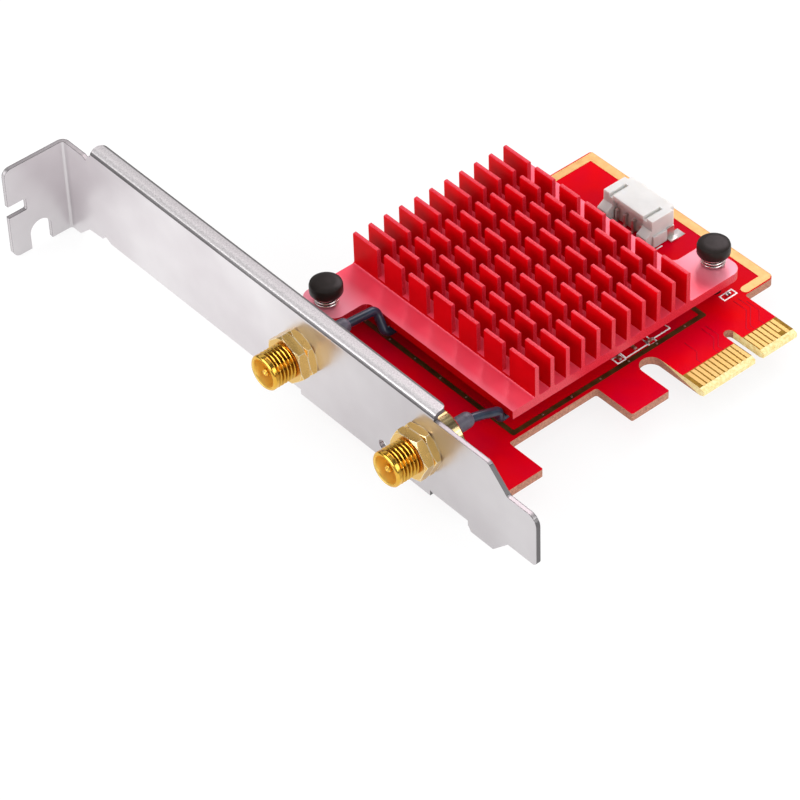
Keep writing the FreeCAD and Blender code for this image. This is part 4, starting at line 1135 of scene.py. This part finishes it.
def make_camera(stage):
    """Camera at the measured place: azimuth, elevation and roll turn a level camera, and the shift
    puts the picture's centre where the lens looks."""
    data = bpy.data.cameras.new("camera")
    camera = bpy.data.objects.new("camera", data)
    bpy.context.scene.collection.objects.link(camera)
    data.sensor_width = 36.0
    data.lens = stage.focal_length
    data.shift_x = stage.shift_x
    data.shift_y = stage.shift_y
    data.clip_start, data.clip_end = 0.01, 20
    a, e, r = stage.azimuth, stage.elevation, stage.roll
    right = Vector((math.cos(a), math.sin(a), 0))
    back = Vector((math.sin(a) * math.cos(e), -math.cos(a) * math.cos(e), math.sin(e)))
    up = back.cross(right)
    turned_right = right * math.cos(r) + up * math.sin(r)
    turned_up = up * math.cos(r) - right * math.sin(r)
    matrix = Matrix((turned_right, turned_up, back)).transposed().to_4x4()
    matrix.translation = Vector(stage.camera_place)
    camera.matrix_world = matrix
    bpy.context.scene.camera = camera


def soft_box(name, place, target, width, height, power, colour="#FFFFFF"):
    """A rectangular lamp at a place, aimed at a target."""
    data = bpy.data.lights.new(name, "AREA")
    data.shape = "RECTANGLE"
    data.size, data.size_y = width, height
    data.energy = power
    data.color = linear(colour)[:3]
    lamp = bpy.data.objects.new(name, data)
    bpy.context.scene.collection.objects.link(lamp)
    lamp.location = place
    aim = Vector(target) - Vector(place)
    lamp.rotation_euler = aim.to_track_quat("-Z", "Y").to_euler()
    return lamp


def make_lamps(stage):
    """Four soft boxes and a pale world. In reflections the world is dark along its horizon, so bent
    and turned metal shows dark lines, and paler above."""
    target = (-0.035, -0.025, 0.005)
    soft_box("top_box", (-0.10, -0.05, 0.62), target, 0.6, 0.6, stage.top_power)
    soft_box("back_box", (-0.24, 0.42, 0.44), target, 0.36, 0.30, stage.back_power,
             "#FFEEF4")
    soft_box("side_box", (0.55, 0.05, 0.30), target, 0.5, 0.4, stage.side_power)
    soft_box("front_box", (-0.15, -0.62, 0.28), target, 0.6, 0.4, stage.front_power)
    world = bpy.data.worlds.new("pale_room")
    bpy.context.scene.world = world
    world.use_nodes = True
    tree = world.node_tree
    back = tree.nodes["Background"]
    back.inputs["Color"].default_value = (1, 1, 1, 1)
    ray = put(tree, "ShaderNodeLightPath")
    way = put(tree, "ShaderNodeTexCoord").outputs["Generated"]
    height = split(tree, way)[2]
    sky = put(tree, "ShaderNodeValToRGB", inputs={"Fac": height})
    bands = ((0.02, 0.05), (0.16, 0.12), (0.34, 0.85), (0.5, 0.6), (0.62, 0.16), (0.85, 0.12))
    while len(sky.color_ramp.elements) < len(bands):
        sky.color_ramp.elements.new(0.5)
    for element, (place, value) in zip(sky.color_ramp.elements, bands):
        element.position = place
        element.color = (value, value, value, 1)
    strength = between(tree, ray.outputs["Is Glossy Ray"], stage.room_light, 0.0)
    mirrored = maths(tree, "MULTIPLY", ray.outputs["Is Glossy Ray"], sky.outputs["Color"])
    clear = maths(tree, "MAXIMUM", ray.outputs["Is Camera Ray"],
                  ray.outputs["Is Transmission Ray"])
    total = maths(tree, "MAXIMUM", maths(tree, "ADD", strength, mirrored), clear)
    tree.links.new(total, back.inputs["Strength"])
    bpy.context.scene.view_settings.view_transform = "Standard"


def make_floor(stage):
    """A wide pale floor just under the card: a flat disc of rings, shown white to the camera and to
    reflections, with the card's shadow kept."""
    low = CAD_BOX[0][2] - 0.02 * MM
    radii = np.array([0.0, 0.3, 1.0, 3.0])
    angle = np.linspace(0, 2 * np.pi, 64, endpoint=False)
    rr, aa = np.meshgrid(radii, angle, indexing="ij")
    points = np.stack([rr * np.cos(aa) - 0.03, rr * np.sin(aa), np.full_like(rr, low)], -1)
    mesh = bpy.data.meshes.new("floor")
    mesh.from_pydata(points.reshape(-1, 3).tolist(), [],
                     grid_quads(len(radii), 64, False, True)[:, ::-1].tolist())
    material = bpy.data.materials.new("white_paper_sweep")
    material.use_nodes = True
    tree = material.node_tree
    shader = tree.nodes["Principled BSDF"]
    shader.inputs["Base Color"].default_value = linear("#F4F4F4")
    shader.inputs["Roughness"].default_value = 0.9
    # To reflections the sheet is pale near the card and dim further off
    place = put(tree, "ShaderNodeTexCoord").outputs["Object"]
    distance = put(tree, "ShaderNodeVectorMath", {"operation": "LENGTH"}, {0: place})
    mirrored = put(tree, "ShaderNodeMapRange", inputs={
        "Value": distance.outputs["Value"], "From Min": 0.13, "From Max": 0.34,
        "To Min": 0.9, "To Max": 0.05})
    ray = put(tree, "ShaderNodeLightPath")
    level = put(tree, "ShaderNodeMix", inputs={
        "Factor": ray.outputs["Is Glossy Ray"], "A": 1.0, "B": mirrored.outputs["Result"]})
    glow = put(tree, "ShaderNodeEmission", inputs={"Color": (1, 1, 1, 1),
                                                   "Strength": level.outputs["Result"]})
    seen = maths(tree, "MAXIMUM", ray.outputs["Is Camera Ray"], ray.outputs["Is Glossy Ray"])
    seen = maths(tree, "MAXIMUM", seen, ray.outputs["Is Transmission Ray"])
    share = maths(tree, "MULTIPLY", seen, stage.floor_glow)
    mix = put(tree, "ShaderNodeMixShader", inputs={0: share, 1: shader.outputs[0],
                                                   2: glow.outputs[0]})
    tree.links.new(mix.outputs[0], tree.nodes["Material Output"].inputs["Surface"])
    mesh.materials.append(material)
    floor = bpy.data.objects.new("floor", mesh)
    bpy.context.scene.collection.objects.link(floor)


# Settings and panel

def colour_text(name, description, default):
    """A colour kept as hex text."""
    return bpy.props.StringProperty(name=name, description=description, default=default)


class CardColours(bpy.types.PropertyGroup):
    """Colours of the finishes, as sRGB hex"""
    mask: colour_text("Mask", "Solder mask where copper lies under it", "#D80006")
    mask_dark: colour_text("Mask, dark", "Solder mask over bare laminate", "#BE0022")
    laminate: colour_text("Laminate", "Sawn edge of the board", "#C08A70")
    laminate_dark: colour_text("Laminate, dark", "Glass threads in the sawn edge", "#8E6250")
    contact: colour_text("Contacts", "Hard gold on the contacts", "#CEB474")
    contact_dark: colour_text("Contacts, dark", "Worn streaks on the contacts", "#C4A662")
    border: colour_text("Border", "Immersion gold border", "#DEB878")
    # The frame's brown stands for painted shade under the heat sink
    ring: colour_text("Frame", "Stained frame under the heat sink", "#6E5228")
    sheet: colour_text("Bracket", "Plated steel", "#F4F0F2")
    sheet_dark: colour_text("Bracket, dark", "Clouded patches on the steel", "#E4DEE1")
    jack: colour_text("Jacks", "Gold plated jacks", "#F8C656")
    jack_dark: colour_text("Jacks, dark", "Duller gold", "#E6AE40")
    anodised: colour_text("Heat sink", "Red anodised aluminium", "#CC000A")
    anodised_dark: colour_text("Heat sink, dark", "Deeper dye", "#B60008")
    sleeve: colour_text("Sleeves", "Shrunk sleeves", "#5A5664")


class CardSizes(bpy.types.PropertyGroup):
    """Sizes of the fine detail"""
    thread_pitch: FloatProperty(name="Thread pitch", description="36 threads to the inch",
                                default=0.7056 * MM, unit="LENGTH", precision=5)
    thread_depth: FloatProperty(name="Thread depth", description="Crest to root",
                                default=0.43 * MM, unit="LENGTH", precision=5)
    spring_turns: IntProperty(name="Spring turns", description="Turns of wire in each spring",
                              default=4, min=2)
    hole_spacing: FloatProperty(name="Hole spacing", description="Between holes in the frame",
                                default=6.3 * MM, unit="LENGTH", precision=5)
    ink_line: FloatProperty(name="Ink line", description="Width of a printed line",
                            default=0.27 * MM, unit="LENGTH", precision=5)


class CardStage(bpy.types.PropertyGroup):
    """Camera and light"""
    azimuth: FloatProperty(name="Azimuth", description="Camera's bearing",
                           default=math.radians(50.94), subtype="ANGLE")
    elevation: FloatProperty(name="Elevation", description="Camera's height angle",
                             default=math.radians(42.86), subtype="ANGLE")
    roll: FloatProperty(name="Roll", description="Camera's tilt", default=math.radians(-2.33),
                        subtype="ANGLE")
    camera_place: FloatVectorProperty(name="Camera place", description="Where the lens is",
                                      default=(0.318658, -0.335815, 0.420083),
                                      subtype="TRANSLATION")
    focal_length: FloatProperty(name="Focal length", description="Lens on a 36 mm sensor",
                                default=172.03, min=1)
    shift_x: FloatProperty(name="Shift X", description="Lens shift across", default=0.0092)
    shift_y: FloatProperty(name="Shift Y", description="Lens shift up", default=-0.0040)
    top_power: FloatProperty(name="Top box", description="Power of the lamp above", default=0.45)
    back_power: FloatProperty(name="Back box", description="Power of the lamp behind",
                              default=1.6)
    side_power: FloatProperty(name="Side box", description="Power of the lamp beside", default=1.9)
    front_power: FloatProperty(name="Front box", description="Power of the lamp in front",
                               default=3.3)
    room_light: FloatProperty(name="Room", description="Light from all round", default=0.82)
    floor_glow: FloatProperty(name="Floor glow", description="How white the floor is shown",
                              default=0.85)


OPERATORS = (CARD_OT_board, CARD_OT_contacts, CARD_OT_print, CARD_OT_bracket, CARD_OT_jacks,
             CARD_OT_heat_sink, CARD_OT_pins, CARD_OT_cables, CARD_OT_module, CARD_OT_header,
             CARD_OT_chips, CARD_OT_stage)
GROUPS = (("card_colours", CardColours), ("card_sizes", CardSizes), ("card_stage", CardStage))


class CARD_PT_looks(bpy.types.Panel):
    """Lists the card's settings and its pieces"""
    bl_idname = "CARD_PT_looks"
    bl_label = "Card"
    bl_space_type = "VIEW_3D"
    bl_region_type = "UI"
    bl_category = "Card"

    def draw(self, context):
        for name, group in GROUPS:
            box = self.layout.box()
            for key in group.__annotations__:
                box.prop(getattr(context.scene, name), key)
        for operator in OPERATORS:
            self.layout.operator(operator.bl_idname)


def register():
    """Adds the settings, the pieces and the panel."""
    for name, group in GROUPS:
        bpy.utils.register_class(group)
        setattr(bpy.types.Scene, name, PointerProperty(type=group))
    for operator in OPERATORS:
        bpy.utils.register_class(operator)
    bpy.utils.register_class(CARD_PT_looks)


def unregister():
    """Takes them away again."""
    bpy.utils.unregister_class(CARD_PT_looks)
    for operator in reversed(OPERATORS):
        bpy.utils.unregister_class(operator)
    for name, group in reversed(GROUPS):
        delattr(bpy.types.Scene, name)
        bpy.utils.unregister_class(group)


def main():
    """Registers the add-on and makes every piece."""
    register()
    for operator in OPERATORS:
        group, name = operator.bl_idname.split(".")
        getattr(getattr(bpy.ops, group), name)()


if __name__ == "__main__":
    main()
